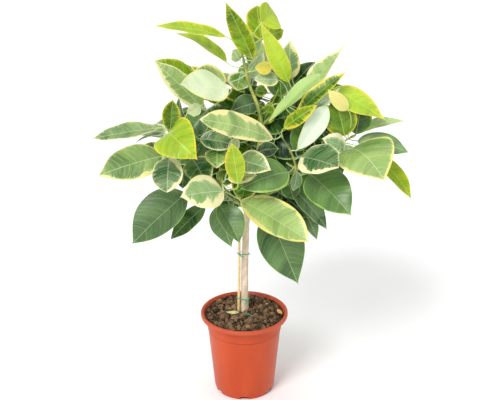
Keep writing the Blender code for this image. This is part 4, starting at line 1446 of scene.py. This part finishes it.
# Leaves that grow between the others: base and tip in cm, where the upper side looks, width in cm, look
BETWEEN: list[tuple[Triple, Triple, Triple, float, Look]] = [
    ((4.6, 4, 89.4), (9.2, 6, 90.7), (0, -1, 0.3), 3.6, Look(LIME, 0.8, 2, 0.45, 1, 0.6)),
    ((-0.9, 3, 84.5), (-2.6, 3, 87), (0, -1, 1), 3.6, Look(CREAM, 1, 1, 0.3, 0.3)),
    ((-0.7, 1, 82.3), (-1.7, 0, 78.2), (0, -1, 0), 5.4, Look(MIXED, 2.5, 7, 0.3, 0.3, 0.8)),
    ((-4, -2, 81.2), (-12.5, -3, 82.9), (0, -1, 2), 6.2, Look(MIXED, 4, 4, 0.35, 0.9, 0.4)),
    ((-11.5, 5, 79.2), (-20.8, 5, 83.7), (0, -1, 1), 4.4, Look(LIME, 1, 1, 0.3, 1, 1)),
    ((-9.8, -5, 76.4), (-13, -6, 74.6), (0, -1, 0), 3, Look(CREAM, 0.5, 0.5, 0.8, 0)),
    ((-18, 0, 67.5), (-25.5, 2, 64.5), (0, 0, 1), 3, Look(MIXED, 1, 1, 0.2, 0, 0.2)),
    ((-12, -2, 67), (-15, 0, 77), (-1, -1, 0), 3.5, Look(DARK, 1, 1, 0.1, 0)),
    ((-8.5, -5, 75), (-13, -8, 69.5), (0, -1, 1), 6, Look(DARK, 1, 1, 0.3, 0)),
    ((-9.8, -10, 70.3), (-1.6, -10, 68.6), (0, -1, 1), 5, Look(MIXED, 2, 2, 0.15, 0, 0.3)),
    ((-1.4, -11, 71), (-3.4, -12, 66.9), (0, -1, 0), 2.5, Look(CREAM, 1, 1, 0.4, 0)),
    ((-6, -10, 67.8), (-6, -14, 64.8), (0, -1, 1), 5.4, Look(MIXED, 3, 3, 0.4, 0.8, 0.8)),
    ((-3.5, -15, 62.7), (3, -15, 63.6), (0, -1, 1), 3.8, Look(MIXED, 2, 5, 0.55, 0.3, 0.4)),
    ((12.1, -8, 61.4), (11.2, -9, 57.1), (1, -2, 0), 3, Look(DARK, 1, 1, 0.6, 0, 0)),
    ((-0.3, 2, 53.5), (-2.9, 1, 48.3), (0, -1, 0), 5, Look(DARK, 1, 1, 0, 0, 0.6)),
    ((9.2, 0, 54.4), (6.6, -1, 50.2), (0, -1, 0), 5, Look(DARK, 1, 1, 0, 0, 0.6)),
    ((3, -5, 65), (8, -5, 66), (0, -1, 1), 4, Look(DARK, 1, 1, 0.1, 0)),
    ((11, 2, 80.5), (10.5, 3, 89.4), (-1, -3, 0), 5, Look(MIXED, 2.5, 9, 0.5, 0.3, 0.3)),
    ((10.9, 5, 77), (16.6, 6, 83.2), (0, -1, 1), 4.6, Look(DARK, 1, 1, 0.15, 0.2, 0.8)),
    ((9.1, -6, 71.3), (16.6, -7, 77.3), (1, -2, 2), 3.4, Look(LIME, 1, 4, 0.3, 1, 1)),
    ((12, -4, 65), (15, -3, 73), (-1, -3, 0), 5, Look(DARK, 1, 1, 0.7, 0.6, 1)),
    ((16, -3, 75), (21.6, -4, 80.2), (0, -1, 0.3), 2.4, Look(CREAM, 0.5, 0.5, 0.6, 0, 0)),
    ((23.4, -6, 75.7), (18.8, -6, 80.5), (0, -1, 0.3), 3.3, Look(LIME, 90, 90, 1, 0.32)),
    ((23, -5, 69), (20.8, -2, 77.5), (0, -1, 0), 7.5, Look(LIME, 2, 2, 0.2, 1, 0.2)),
    ((20, 2, 67), (15, 2, 70), (0, -1, 0), 5, Look(DARK, 1, 1, 0, 0, 0.6)),
    ((25.7, -3, 68.7), (27, 0, 75.5), (0, -1, 0), 6, Look(DARK, 1, 3, 0.4, 1)),
    ((23, -7, 66.5), (17.6, -9, 70), (0, -1, 1), 5, Look(CREAM, 5, 6, 0, 0, 0)),
    ((13.2, -2, 50.9), (17.2, -5, 42.7), (1, -2, 0), 3.6, Look(DARK, 1, 1, 0.4, 0, 0.1)),
    ((9, -2, 53), (15, -4, 48), (0, -1, 1), 5, Look(DARK, 1, 1, 0.1, 0)),
    ((10, -5, 58), (11.5, -7, 54), (0, -1, 1), 4.5, Look(DARK, 1, 1, 0.5, 0)),
    ((3.6, 1, 75), (-3.1, -2, 73.8), (0, -1, 1), 5.2, Look(DARK, 0.5, 0.5, 0.25, 0, 0.2)),
    ((4.2, 4, 74.9), (0, 4, 77.8), (0, -1, 0), 4.5, Look(DARK, 1, 1, 0, 0, 0.6)),
    ((2.5, 2, 77.4), (5.6, 2, 77), (0, -1, 1), 3, Look(LIME, 1, 1, 0, 0.8, 0.4)),
    ((4.2, -2, 70.8), (6.4, -1, 75.7), (0, -1, 0), 3.8, Look(LIME, 0.5, 0.5, 0.12, 0.8, 1)),
    ((7.8, 0, 80.7), (2.3, -1, 81.1), (0, -1, 1), 4, Look(MIXED, 4, 0.8, 0.7, 0.2, 0.1)),
    ((6.4, -1, 84.2), (2.4, -1, 84), (0, -1, 0), 3.2, Look(LIME, 90, 90, 0.4, 0.78, 1)),
    ((1.4, 2, 80.5), (4.5, 3, 86.4), (0, -1, 0), 3.4, Look(CREAM, 2, 3, 0.5, 0, 0)),
    ((8.5, 0, 76.9), (8.2, 1, 82), (0, -1, 0), 3.4, Look(DARK, 1, 1, 0.6, 0.8, 1)),
    ((4.2, 7, 65.3), (8.5, 8, 68), (0, -1, 0.5), 5.5, Look(DARK, 1, 1, 0, 0, 0.6)),
    ((5.2, 8, 60.5), (9.5, 9, 63.1), (0, -1, 0.5), 5.5, Look(DARK, 1, 1, 0, 0, 0.6)),
    ((13.8, 7, 60.7), (18.5, 8, 63.6), (0, -1, 0.5), 5.5, Look(DARK, 1, 1, 0.05, 0, 0.6)),
    ((20.3, 3, 59.8), (23.4, 3, 56.2), (0, -1, 0.5), 4.5, Look(DARK, 1, 1, 0.1, 0, 0.4)),
    ((6.8, 7, 71.2), (9.2, 8, 74.3), (0, -1, 0.5), 3.6, Look(LIME, 1, 2, 0.15, 1, 1)),
    ((-14.1, 2, 59.8), (-14.5, 0, 53.6), (0, -1, 0.5), 4.5, Look(DARK, 1, 1, 0, 0, 0.6)),
    ((-5, 0, 53.1), (-2.9, -1, 49.2), (-0.3, -1, 0.2), 4, Look(DARK, 1, 1, 0.15, 0, 0.2)),
    ((-5.5, 3, 53.1), (-6.6, 3, 56.7), (0, -1, 0.5), 4, Look(DARK, 1, 1, 0, 0, 0.6)),
]


@dataclass
class Blade:
    """How any leaf is modelled: a folded, waved plate on a round stalk that runs on as its midrib."""

    across: int = 12
    along: int = 26
    thickness: float = 0.6 * MM
    stalk: float = 1.25 * MM
    roundness: float = 0.7  # lower is a rounder base
    wave: float = 1.5 * MM
    full_wave: float = 20 * MM  # half a blade's width from which its edge waves in full
    narrowest: float = 0.35 * MM  # half of the width left at base and tip
    gap: float = 2.6 * MM
    stalk_steps: int = 8
    rib_steps: int = 10
    rib_end: float = 0.985

    def half_width(self, share: float, point: float) -> float:
        """Reads a blade's outline.

        Args:
            share: A share of its length.
            point: How drawn-out its tip is.

        Returns:
            Half of its width there, for a blade 1 wide.
        """
        widest = self.roundness / (self.roundness + point)
        rise = (share / widest) ** self.roundness
        drip = point + 0.35 * share**8
        return 0.5 * rise * ((1 - share) / (1 - widest)) ** drip

    @staticmethod
    def bow(a: Vector, b: Vector, c: Vector, t: float) -> tuple[Vector, Vector]:
        """The point and the direction at t on a curve from a to c that b pulls to itself."""
        point = (1 - t) ** 2 * a + 2 * t * (1 - t) * b + t**2 * c
        return point, ((1 - t) * (b - a) + t * (c - b)).normalized()

    def add_plate(
        self, bm: bmesh.types.BMesh, leaf: Leaf, look: Look, crest: Vector, rng: random.Random
    ) -> None:
        """Adds the blade: a grid laid along the midrib, then given its thickness downwards.

        Args:
            bm: Where it goes.
            leaf: The leaf's place.
            look: Its colours.
            crest: The point that bows its midrib.
            rng: Where its waves and its seed come from.
        """
        span, tint, seat = (bm.verts.layers.float_vector[name] for name in LAYERS)
        base, tip = leaf.ends()
        length = (tip - base).length
        rise = math.tan(math.radians(leaf.fold))
        waves, twist = rng.uniform(1.6, 2.8), math.radians(rng.uniform(-9, 9))
        phases = rng.uniform(0, 1), rng.uniform(0, 1)
        seed = rng.uniform(0, 9)
        made = bmesh.ops.create_grid(bm, x_segments=self.across, y_segments=self.along, size=0.5)
        verts = made["verts"]
        faces = list(dict.fromkeys(face for vert in verts for face in vert.link_faces))
        for vert in verts:
            side, step = 2 * vert.co.x, vert.co.y + 0.5
            share = 0.5 - 0.5 * math.cos(math.pi * step)
            centre, ahead = self.bow(base, crest, tip, share)
            up = Quaternion(ahead, twist * (share - 0.3)) @ leaf.up(ahead)
            uneven = 1 + 0.05 * noise.noise(Vector((3.2 * share, math.copysign(2, side), 7 * seed)))
            half = max(leaf.width * CM * self.half_width(share, leaf.point) * uneven, self.narrowest)
            gull = rise * (1.25 * abs(side) - 0.25 * side**2) * half
            ripple = math.sin(math.tau * (waves * share + phases[side > 0]))
            gull += self.wave * abs(side) ** 3 * ripple * min(1, half / self.full_wave)
            vert.co = centre + half * side * ahead.cross(up) + gull * up
            vert[span] = (side * half / MM, share * length / MM, half / MM)
            margin = (look.left + look.right) / 2
            if side:
                margin = look.right if side > 0 else look.left
            vert[tint] = (margin, look.light, look.yellow)
            vert[seat] = (0, seed, look.warm)
        bm.normal_update()
        made = bmesh.ops.solidify(bm, geom=faces, thickness=self.thickness)["geom"]
        for vert in made:
            if isinstance(vert, bmesh.types.BMVert):
                vert[seat] = (1, seed, look.warm)

    def add_stalk(
        self, bm: bmesh.types.BMesh, leaf: Leaf, look: Look, crest: Vector, foot: Vector, root: Vector
    ) -> None:
        """Adds the stalk, which thins to the tip under the blade as its midrib.

        Args:
            bm: Where it goes.
            leaf: The leaf's place.
            look: Its colours.
            crest: The point that bows its midrib.
            foot: Where the part's own stalk starts, just off the branch.
            root: A point inside the branch.
        """
        span, tint, seat = (bm.verts.layers.float_vector[name] for name in LAYERS)
        base, tip = leaf.ends()
        bend = base - (crest - base).normalized() * 0.4 * (base - foot).length
        rings = [(root, (foot - root).normalized(), self.stalk * 1.35)]
        for step in range(self.stalk_steps):
            point, ahead = self.bow(foot, bend, base, step / self.stalk_steps)
            rings.append((point, ahead, self.stalk * (1.25 - 0.25 * min(1, step / 3))))
        for step in range(self.rib_steps + 1):
            share = self.rib_end * step / self.rib_steps
            point, ahead = self.bow(base, crest, tip, share)
            radius = self.stalk * (1 - 0.8 * share)
            sink = self.thickness + 0.62 * radius
            rings.append((point - leaf.up(ahead) * sink * min(1, step / 2), ahead, radius))
        for vert in sweep(bm, rings, 8):
            vert[span] = (0, 0, 30)
            vert[tint] = (0, look.light, look.yellow)
            vert[seat] = (0.35, 0, look.warm)

    def grow(
        self, leaf: Leaf, look: Look, branches: Branches, routes: dict[str, Route], seed: str
    ) -> tuple[bmesh.types.BMesh, BVHTree]:
        """Models one leaf.

        Args:
            leaf: The leaf's place.
            look: Its colours.
            branches: The wood that carries it.
            routes: The branches' routes.
            seed: What its waves are drawn from.

        Returns:
            The leaf's closed shapes, and its blade alone for telling what it touches or hides.
        """
        bm = bmesh.new()
        for name in LAYERS:
            bm.verts.layers.float_vector.new(name)
        base, tip = leaf.ends()
        chord = tip - base
        crest = (base + tip) / 2 + leaf.up(chord) * leaf.arch * chord.length * 2
        root, along = point_along(routes[leaf.branch], leaf.at)
        towards = base - root
        out = (towards - towards.project(along)).normalized()
        foot = root + out * (branches.radius(leaf.branch, leaf.at) + self.gap)
        self.add_plate(bm, leaf, look, crest, random.Random(seed))
        tree = BVHTree.FromBMesh(bm)
        self.add_stalk(bm, leaf, look, crest, foot, root)
        bmesh.ops.recalc_face_normals(bm, faces=bm.faces)
        return bm, tree


@dataclass
class Crown:
    """Every leaf of the tree: those of the model, those between them and those that fill it all round."""

    branches: Branches
    blade: Blade  # of the model's leaves
    light_blade: Blade  # of all the others
    eye: Vector
    inner: int = 46
    outer: int = 60
    tries: int = 900
    middle: Triple = (2.6, 3, 65)  # of the shaded inside, in centimetres as the three below
    dense: Triple = (14, 6, 12.5)  # how far it reaches
    centre: Triple = (1, 2, 67)  # of the whole crown
    reach: Triple = (31, 27, 25)
    lowest: float = 0.12  # no leaf grows nearer to a branch's root, as a share of its length
    placed_fold: float = 12  # degrees, of the leaves in the table
    drawn_fold: float = 11  # and of the drawn ones
    arch: float = 0.08
    seed: int = 23

    def __post_init__(self) -> None:
        """Reads the routes and starts with no leaves."""
        self.routes = self.branches.routes()
        self.trees: list[BVHTree] = []
        self.sprays = {slot: bmesh.new() for slot in (LIME, MIXED, DARK, CREAM)}

    def hang(
        self, base: Sequence[float], tip: Sequence[float], face: Triple, width: float, fold: float
    ) -> Leaf:
        """Hangs a leaf on the branch nearest to its base.

        Args:
            base: Where its blade starts, in centimetres.
            tip: Where it ends.
            face: Where its upper side looks.
            width: Its width in centimetres.
            fold: How far its halves rise, in degrees.

        Returns:
            The leaf's place.
        """
        point = Vector(base) * CM
        found = []
        for name, route in self.routes.items():
            share = max(self.lowest, nearest_share(route, point))
            found.append(((point_along(route, share)[0] - point).length, name, share))
        _, name, share = min(found)
        return Leaf(name, share, tuple(base), tuple(tip), face, width, fold, self.arch)

    def build_model_leaves(self, materials: dict[Slot, bpy.types.Material]) -> None:
        """Models each leaf of the part as its own piece.

        Args:
            materials: The leaf finishes.
        """
        for name, leaf in LEAVES.items():
            look = LOOKS[name]
            bm, tree = self.blade.grow(leaf, look, self.branches, self.routes, f"leaf_{name}")
            self.trees.append(tree)
            piece = mesh_object(f"ficus_leaf_{name}", bm, materials[look.slot])
            fit(piece, look.slot, [f"leaf_{name}"])

    def peeks_out(self, leaf: Leaf) -> bool:
        """Tells whether a leaf would show in front, beyond the dense middle and the leaves placed so far.

        Args:
            leaf: The leaf's place.

        Returns:
            True if some point of it would show.
        """
        base, tip = leaf.ends()
        side = (tip - base).cross(Vector(leaf.face)).normalized() * leaf.width * CM / 2
        wide = base.lerp(tip, 0.4)
        middle, dense = Vector(self.middle) * CM, Vector(self.dense) * CM
        for point in (base, base.lerp(tip, 0.75), tip, wide + side, wide - side):
            sight = (self.eye - point).normalized()
            # Where the line of sight through the point meets the tree's own plane
            level = point - sight * (point.y / sight.y) - middle
            if (level.x / dense.x) ** 2 + (level.z / dense.z) ** 2 < 1:
                continue
            if not any(tree.ray_cast(point + sight * CM, sight)[0] for tree in self.trees):
                return True
        return False

    def inner_leaf(self, rng: random.Random) -> tuple[Leaf, Look]:
        """Draws one leaf for the shaded middle of the crown, its green kept deep as painted shade.

        Args:
            rng: Where it is drawn from.

        Returns:
            Its place and its look.
        """
        out = Vector([rng.gauss(0, 1) for _ in range(3)]).normalized()
        reach = rng.uniform(0.1, 0.8)
        base = Vector(m + reach * o * d for m, o, d in zip(self.middle, out, self.dense))
        lean, sag = rng.uniform(-0.6, 0.6), rng.uniform(-0.6, 0.6)
        ahead = Vector((out.x + lean, -0.35, out.z - 0.3 + sag)).normalized()
        width = rng.uniform(4.5, 7.5)
        face = (rng.uniform(-0.6, 0.6), -1, rng.uniform(0.2, 1.2))
        leaf = self.hang(base, base + ahead * width * rng.uniform(1.3, 1.6), face, width, self.drawn_fold)
        slot = rng.choices((LIME, MIXED, DARK), (0.22, 0.18, 0.6))[0]
        left, right = rng.uniform(0.5, 2.5), rng.uniform(0.5, 2.5)
        # Painted shade: its light is kept low, as the leaves round it would shade it
        return leaf, Look(slot, left, right, rng.uniform(-0.2, 0.15), 0.3, rng.uniform(0.3, 1))

    def outer_leaf(self, rng: random.Random) -> tuple[Leaf, Look]:
        """Draws one leaf for the sides or the back of the crown.

        Args:
            rng: Where it is drawn from.

        Returns:
            Its place and its look.
        """
        angle = rng.uniform(-0.15 * math.pi, 1.15 * math.pi)
        height = rng.uniform(-0.65, 0.85)
        out = Vector((math.cos(angle), math.sin(angle), height)).normalized()
        depth = rng.choice((0.42, 0.55, 0.62, 0.62, 0.66))
        base = Vector(c + depth * o * r for c, o, r in zip(self.centre, out, self.reach))
        width = rng.uniform(6, 9)
        length = width * rng.uniform(1.35, 1.7)
        lean = Vector((rng.uniform(-0.5, 0.5), rng.uniform(-0.3, 0.3), rng.uniform(-0.5, 0.25)))
        ahead = (out + lean).normalized()
        tilt = Vector((rng.uniform(-0.3, 0.3), rng.uniform(-0.3, 0.3), 0))
        face = (UP * 1.2 + out * 0.7 + tilt).normalized()
        leaf = self.hang(base, base + ahead * length, tuple(face), width, self.drawn_fold)
        high = 0.5 + 0.5 * height
        slot = rng.choices((LIME, MIXED, DARK), (0.2 + high, 0.9, 1.5 - high))[0]
        pale = rng.uniform(0.8, 2) if slot is DARK else rng.uniform(1, 7)
        # Painted shade: the deeper a leaf is set in the crown, the darker its green
        light = rng.uniform(0.1, 0.7) * (0.4 + 0.6 * depth / 0.62)
        return leaf, Look(slot, pale, rng.uniform(0.8, 5), light, rng.uniform(0.2, 1))

    def add_leaf(self, leaf: Leaf, look: Look, seed: str, free: bool) -> bool:
        """Adds one leaf to the spray of its finish.

        Args:
            leaf: The leaf's place.
            look: Its colours.
            seed: What its waves are drawn from.
            free: True if it may not touch the blade of another leaf.

        Returns:
            True if it is in the spray now.
        """
        bm, tree = self.light_blade.grow(leaf, look, self.branches, self.routes, seed)
        if free and any(tree.overlap(other) for other in self.trees):
            bm.free()
            return False
        self.trees.append(tree)
        pour(bm, self.sprays[look.slot])
        return True

    def build_between(self, materials: dict[Slot, bpy.types.Material]) -> None:
        """Models the leaves between, inside and behind, gathered by finish into one piece each.

        Args:
            materials: The leaf finishes.
        """
        for index, (base, tip, face, width, look) in enumerate(BETWEEN):
            leaf = self.hang(base, tip, face, width, self.placed_fold)
            self.add_leaf(leaf, look, f"between {index}", False)
        rng = random.Random(self.seed)
        for draw, wanted in ((self.inner_leaf, self.inner), (self.outer_leaf, self.outer)):
            placed = 0
            for index in range(self.tries):
                leaf, look = draw(rng)
                if not self.peeks_out(leaf) and self.add_leaf(leaf, look, f"{draw.__name__} {index}", True):
                    placed += 1
                    if placed == wanted:
                        break
            LOG.info("%s: %d placed", draw.__name__, placed)
        for slot, bm in self.sprays.items():
            fit(mesh_object(f"spray_{slot.value}", bm, materials[slot]), slot)


@dataclass
class FallenLeaf:
    """A small dry leaf that lies on the soil, curled up along its edges."""

    place: Triple  # its middle, in centimetres
    length: float
    slim: float  # its width as a share of its length
    turn: float  # its heading, in degrees
    thickness: float = 0.5 * MM

    def build(self, name: str, material: bpy.types.Material) -> bpy.types.Object:
        """Models the leaf.

        Args:
            name: The piece's name.
            material: Its dry skin.

        Returns:
            The leaf.
        """
        bm = bmesh.new()
        bmesh.ops.create_grid(bm, x_segments=24, y_segments=8, size=0.5)
        for vert in bm.verts:
            share, side = vert.co.x * 2, vert.co.y * 2
            half = self.slim * (1 - share**2) ** 1.1 * (1 - 0.35 * share) / 2
            crease = noise.noise(Vector((share * 3, side * 2, self.turn)))
            curl = 0.1 * side**2 * half + 0.05 * share**2 + 0.02 * crease
            vert.co = Vector((share / 2, side * half, curl)) * self.length
        bmesh.ops.remove_doubles(bm, verts=bm.verts, dist=1e-6)
        bm.normal_update()
        bmesh.ops.solidify(bm, geom=bm.faces[:], thickness=self.thickness)
        there = Matrix.Translation(Vector(self.place) * CM)
        there @= Matrix.Rotation(math.radians(self.turn), 4, "Z")
        bmesh.ops.transform(bm, matrix=there, verts=bm.verts)
        return closed_object(name, bm, material)


# ---------------------------------------------------------------------------------------------------
# Studio
# ---------------------------------------------------------------------------------------------------


@dataclass
class Studio:
    """A pale floor, soft light from all round with a stronger side, and the camera."""

    eye: Triple = (0.014, -3.0, 1.85)
    pitch: float = -24.1  # degrees from level
    sensor: float = 36  # mm
    focal: float = 100.08  # mm
    floor: float = 12  # metres from its middle to its edge
    ambient: float = 0.7

    def build_floor(self) -> None:
        """Lays the floor far enough to fill the view."""
        bm = bmesh.new()
        bmesh.ops.create_grid(bm, x_segments=2, y_segments=2, size=self.floor)
        # Matte white vinyl: an even pale ground with hardly a shine, which soft shadows show on
        recipe = Recipe("matte white vinyl")
        recipe.feed(recipe.shader, {"Base Color": "#f8f8f8", "Roughness": 0.9})
        recipe.shader.inputs["Specular IOR Level"].default_value = 0.1
        mesh_object("floor", bm, recipe.material)

    def add_window(self, name: str, aim: Triple, spread: float, power: float) -> None:
        """Hangs one far soft light, like a bright window or an overhead sheet.

        Args:
            name: The light's name.
            aim: The way its light falls.
            spread: How wide it looks, in degrees.
            power: Its strength in watts a square metre.
        """
        light = bpy.data.lights.new(name, "SUN")
        light.energy = power
        light.angle = math.radians(spread)
        lamp = bpy.data.objects.new(name, light)
        lamp.rotation_euler = Vector(aim).to_track_quat("-Z", "Y").to_euler()
        bpy.context.scene.collection.objects.link(lamp)

    def build(self) -> None:
        """Sets up the floor, the lights and the camera."""
        self.build_floor()
        world = bpy.data.worlds.new("white studio")
        world.use_nodes = True
        backdrop = world.node_tree.nodes["Background"]
        backdrop.inputs["Color"].default_value = (1, 1, 1, 1)
        backdrop.inputs["Strength"].default_value = self.ambient
        bpy.context.scene.world = world
        self.add_window("key_left", (0.42, 0.75, -0.88), 24, 2.0)
        self.add_window("overhead", (0.1, -0.2, -1), 50, 0.7)
        camera = bpy.data.cameras.new("camera")
        camera.lens = self.focal
        camera.sensor_width = self.sensor
        eye = bpy.data.objects.new("camera", camera)
        eye.location = self.eye
        eye.rotation_euler = (math.radians(90 + self.pitch), 0, 0)
        bpy.context.scene.collection.objects.link(eye)
        bpy.context.scene.camera = eye
        bpy.context.scene.view_settings.view_transform = "Standard"


def leaf_materials() -> dict[Slot, bpy.types.Material]:
    """Makes the four leaf finishes.

    Returns:
        A material for each leaf slot.
    """
    finishes = [
        # Young leaves: bright and fresh, nearly yellow where they are palest
        LeafFinish(
            LIME, deep="#37670a", pale="#bfe03c", fresh="#86c21a", cream="#efe9a4", yellow="#e3cf33",
            rib="#d3e278", under="#d2f3a8", fade="#c8d23c",
            grey=0.1, drift=0.8, mottle=0.5, flecks=0.5, vein=0.22, roughness=0.28,
        ),
        # Variegated leaves: grey green inside a broad cream margin with flecks beside it
        LeafFinish(
            MIXED, deep="#28692f", pale="#b4da7c", fresh="#8cbb45", cream="#f4ecbe", yellow="#e8dc74",
            rib="#dde8c0", under="#c3dfa6", fade="#b4c890",
            grey=0.6, drift=1.0, mottle=0.35, flecks=0.7, vein=0.5, roughness=0.3,
        ),
        # Old leaves: deep even green with clear veins and hardly a margin
        LeafFinish(
            DARK, deep="#0a350f", pale="#6ea348", fresh="#56903a", cream="#d3dfa2", yellow="#8fbb3c",
            rib="#c2d6a6", under="#9dba8c", fade="#5f8c4c",
            grey=0.35, drift=1.0, mottle=0.2, flecks=0.0, vein=0.36, roughness=0.28,
        ),
        # Leaves that are nearly all cream: the softest colours, and the least gloss
        LeafFinish(
            CREAM, deep="#84b06a", pale="#eefbe4", fresh="#c9de9a", cream="#fbf3cf", yellow="#efdf5a",
            rib="#f4f6dc", under="#e4f0cc", fade="#e6f0c0",
            grey=0.1, drift=0.6, mottle=0.35, flecks=0.3, vein=0.3, roughness=0.4,
        ),
    ]
    return {finish.slot: finish.make() for finish in finishes}


def main() -> None:
    """Builds every sub-assembly in order."""
    logging.basicConfig(level=logging.INFO, format="%(name)s: %(message)s")
    Studio().build()

    low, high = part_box("pot")
    pot = Pot(lip_radius=(high.x - low.x) / 2, height=high.z)
    fit(pot.build(PotFinish().make()), Slot.POT, ["pot"])
    fit(Soil(pot).build(SoilFinish().make()), Slot.SOIL, ["soil"])

    bark = BarkFinish(Slot.BARK, "#f3e3cb", "#c7ad8d", "#cfc1a2", 0.56, 0.85)
    fit(Stem().build(bark.make()), Slot.BARK, ["trunk"])
    # Young bark is the same skin, green and a little waxy still
    green_bark = BarkFinish(Slot.GREEN_BARK, "#a4b758", "#5a6b2f", "#c9be5a", 0.55, 0.6)
    branches = Branches()
    limbs = [f"branch_{name}" for name in BRANCHES]
    fit(branches.build(green_bark.make()), Slot.GREEN_BARK, limbs)
    fit(Cane().build(CaneFinish().make()), Slot.CANE, ["cane"])

    # Soft PVC on a thin wire: an even bluish green with a smooth small highlight
    wire = PlainFinish("green coated wire", "#27a07c", "#43c09a", 300, 0.35).make()
    ties = Ties()
    for place, z, lift, drop in (("upper", 0.362, 0.15, (0.7, 0, -0.5)), ("lower", 0.24, 0.2, (-0.3, 0, -1))):
        tie = ties.build(f"green_tie_{place}", z, lift, Vector(drop), wire)
        fit(tie, Slot.TIE, [f"tie_{place}"])
    fit(ties.build_scrap(wire), Slot.TIE, ["tie_scrap"])

    # A fallen blade that is still limp and pale, and others dried to a brown paper
    wilted = PlainFinish("wilted leaf", "#c9cf86", "#e3dfa0", 120, 0.6).make()
    dry = PlainFinish("dry leaf", "#b98a45", "#d9b56c", 160, 0.7).make()
    for name, fallen, skin, nodes in (
        ("dry_leaf_by_cane", FallenLeaf((-2.9, -1, 21.1), 31 * MM, 0.5, 174), wilted, ["fallen_leaf"]),
        ("dry_leaf_by_rim", FallenLeaf((8.7, -0.9, 21.2), 29 * MM, 0.36, -66), dry, []),
        ("dry_scrap_at_back", FallenLeaf((5.6, 3.8, 21), 8 * MM, 0.7, 25), dry, []),
    ):
        fit(fallen.build(name, skin), Slot.DRY_LEAF, nodes)

    crown = Crown(branches, Blade(), Blade(across=8, along=18), Vector(Studio.eye))
    materials = leaf_materials()
    crown.build_model_leaves(materials)
    crown.build_between(materials)


if __name__ == "__main__":
    main()
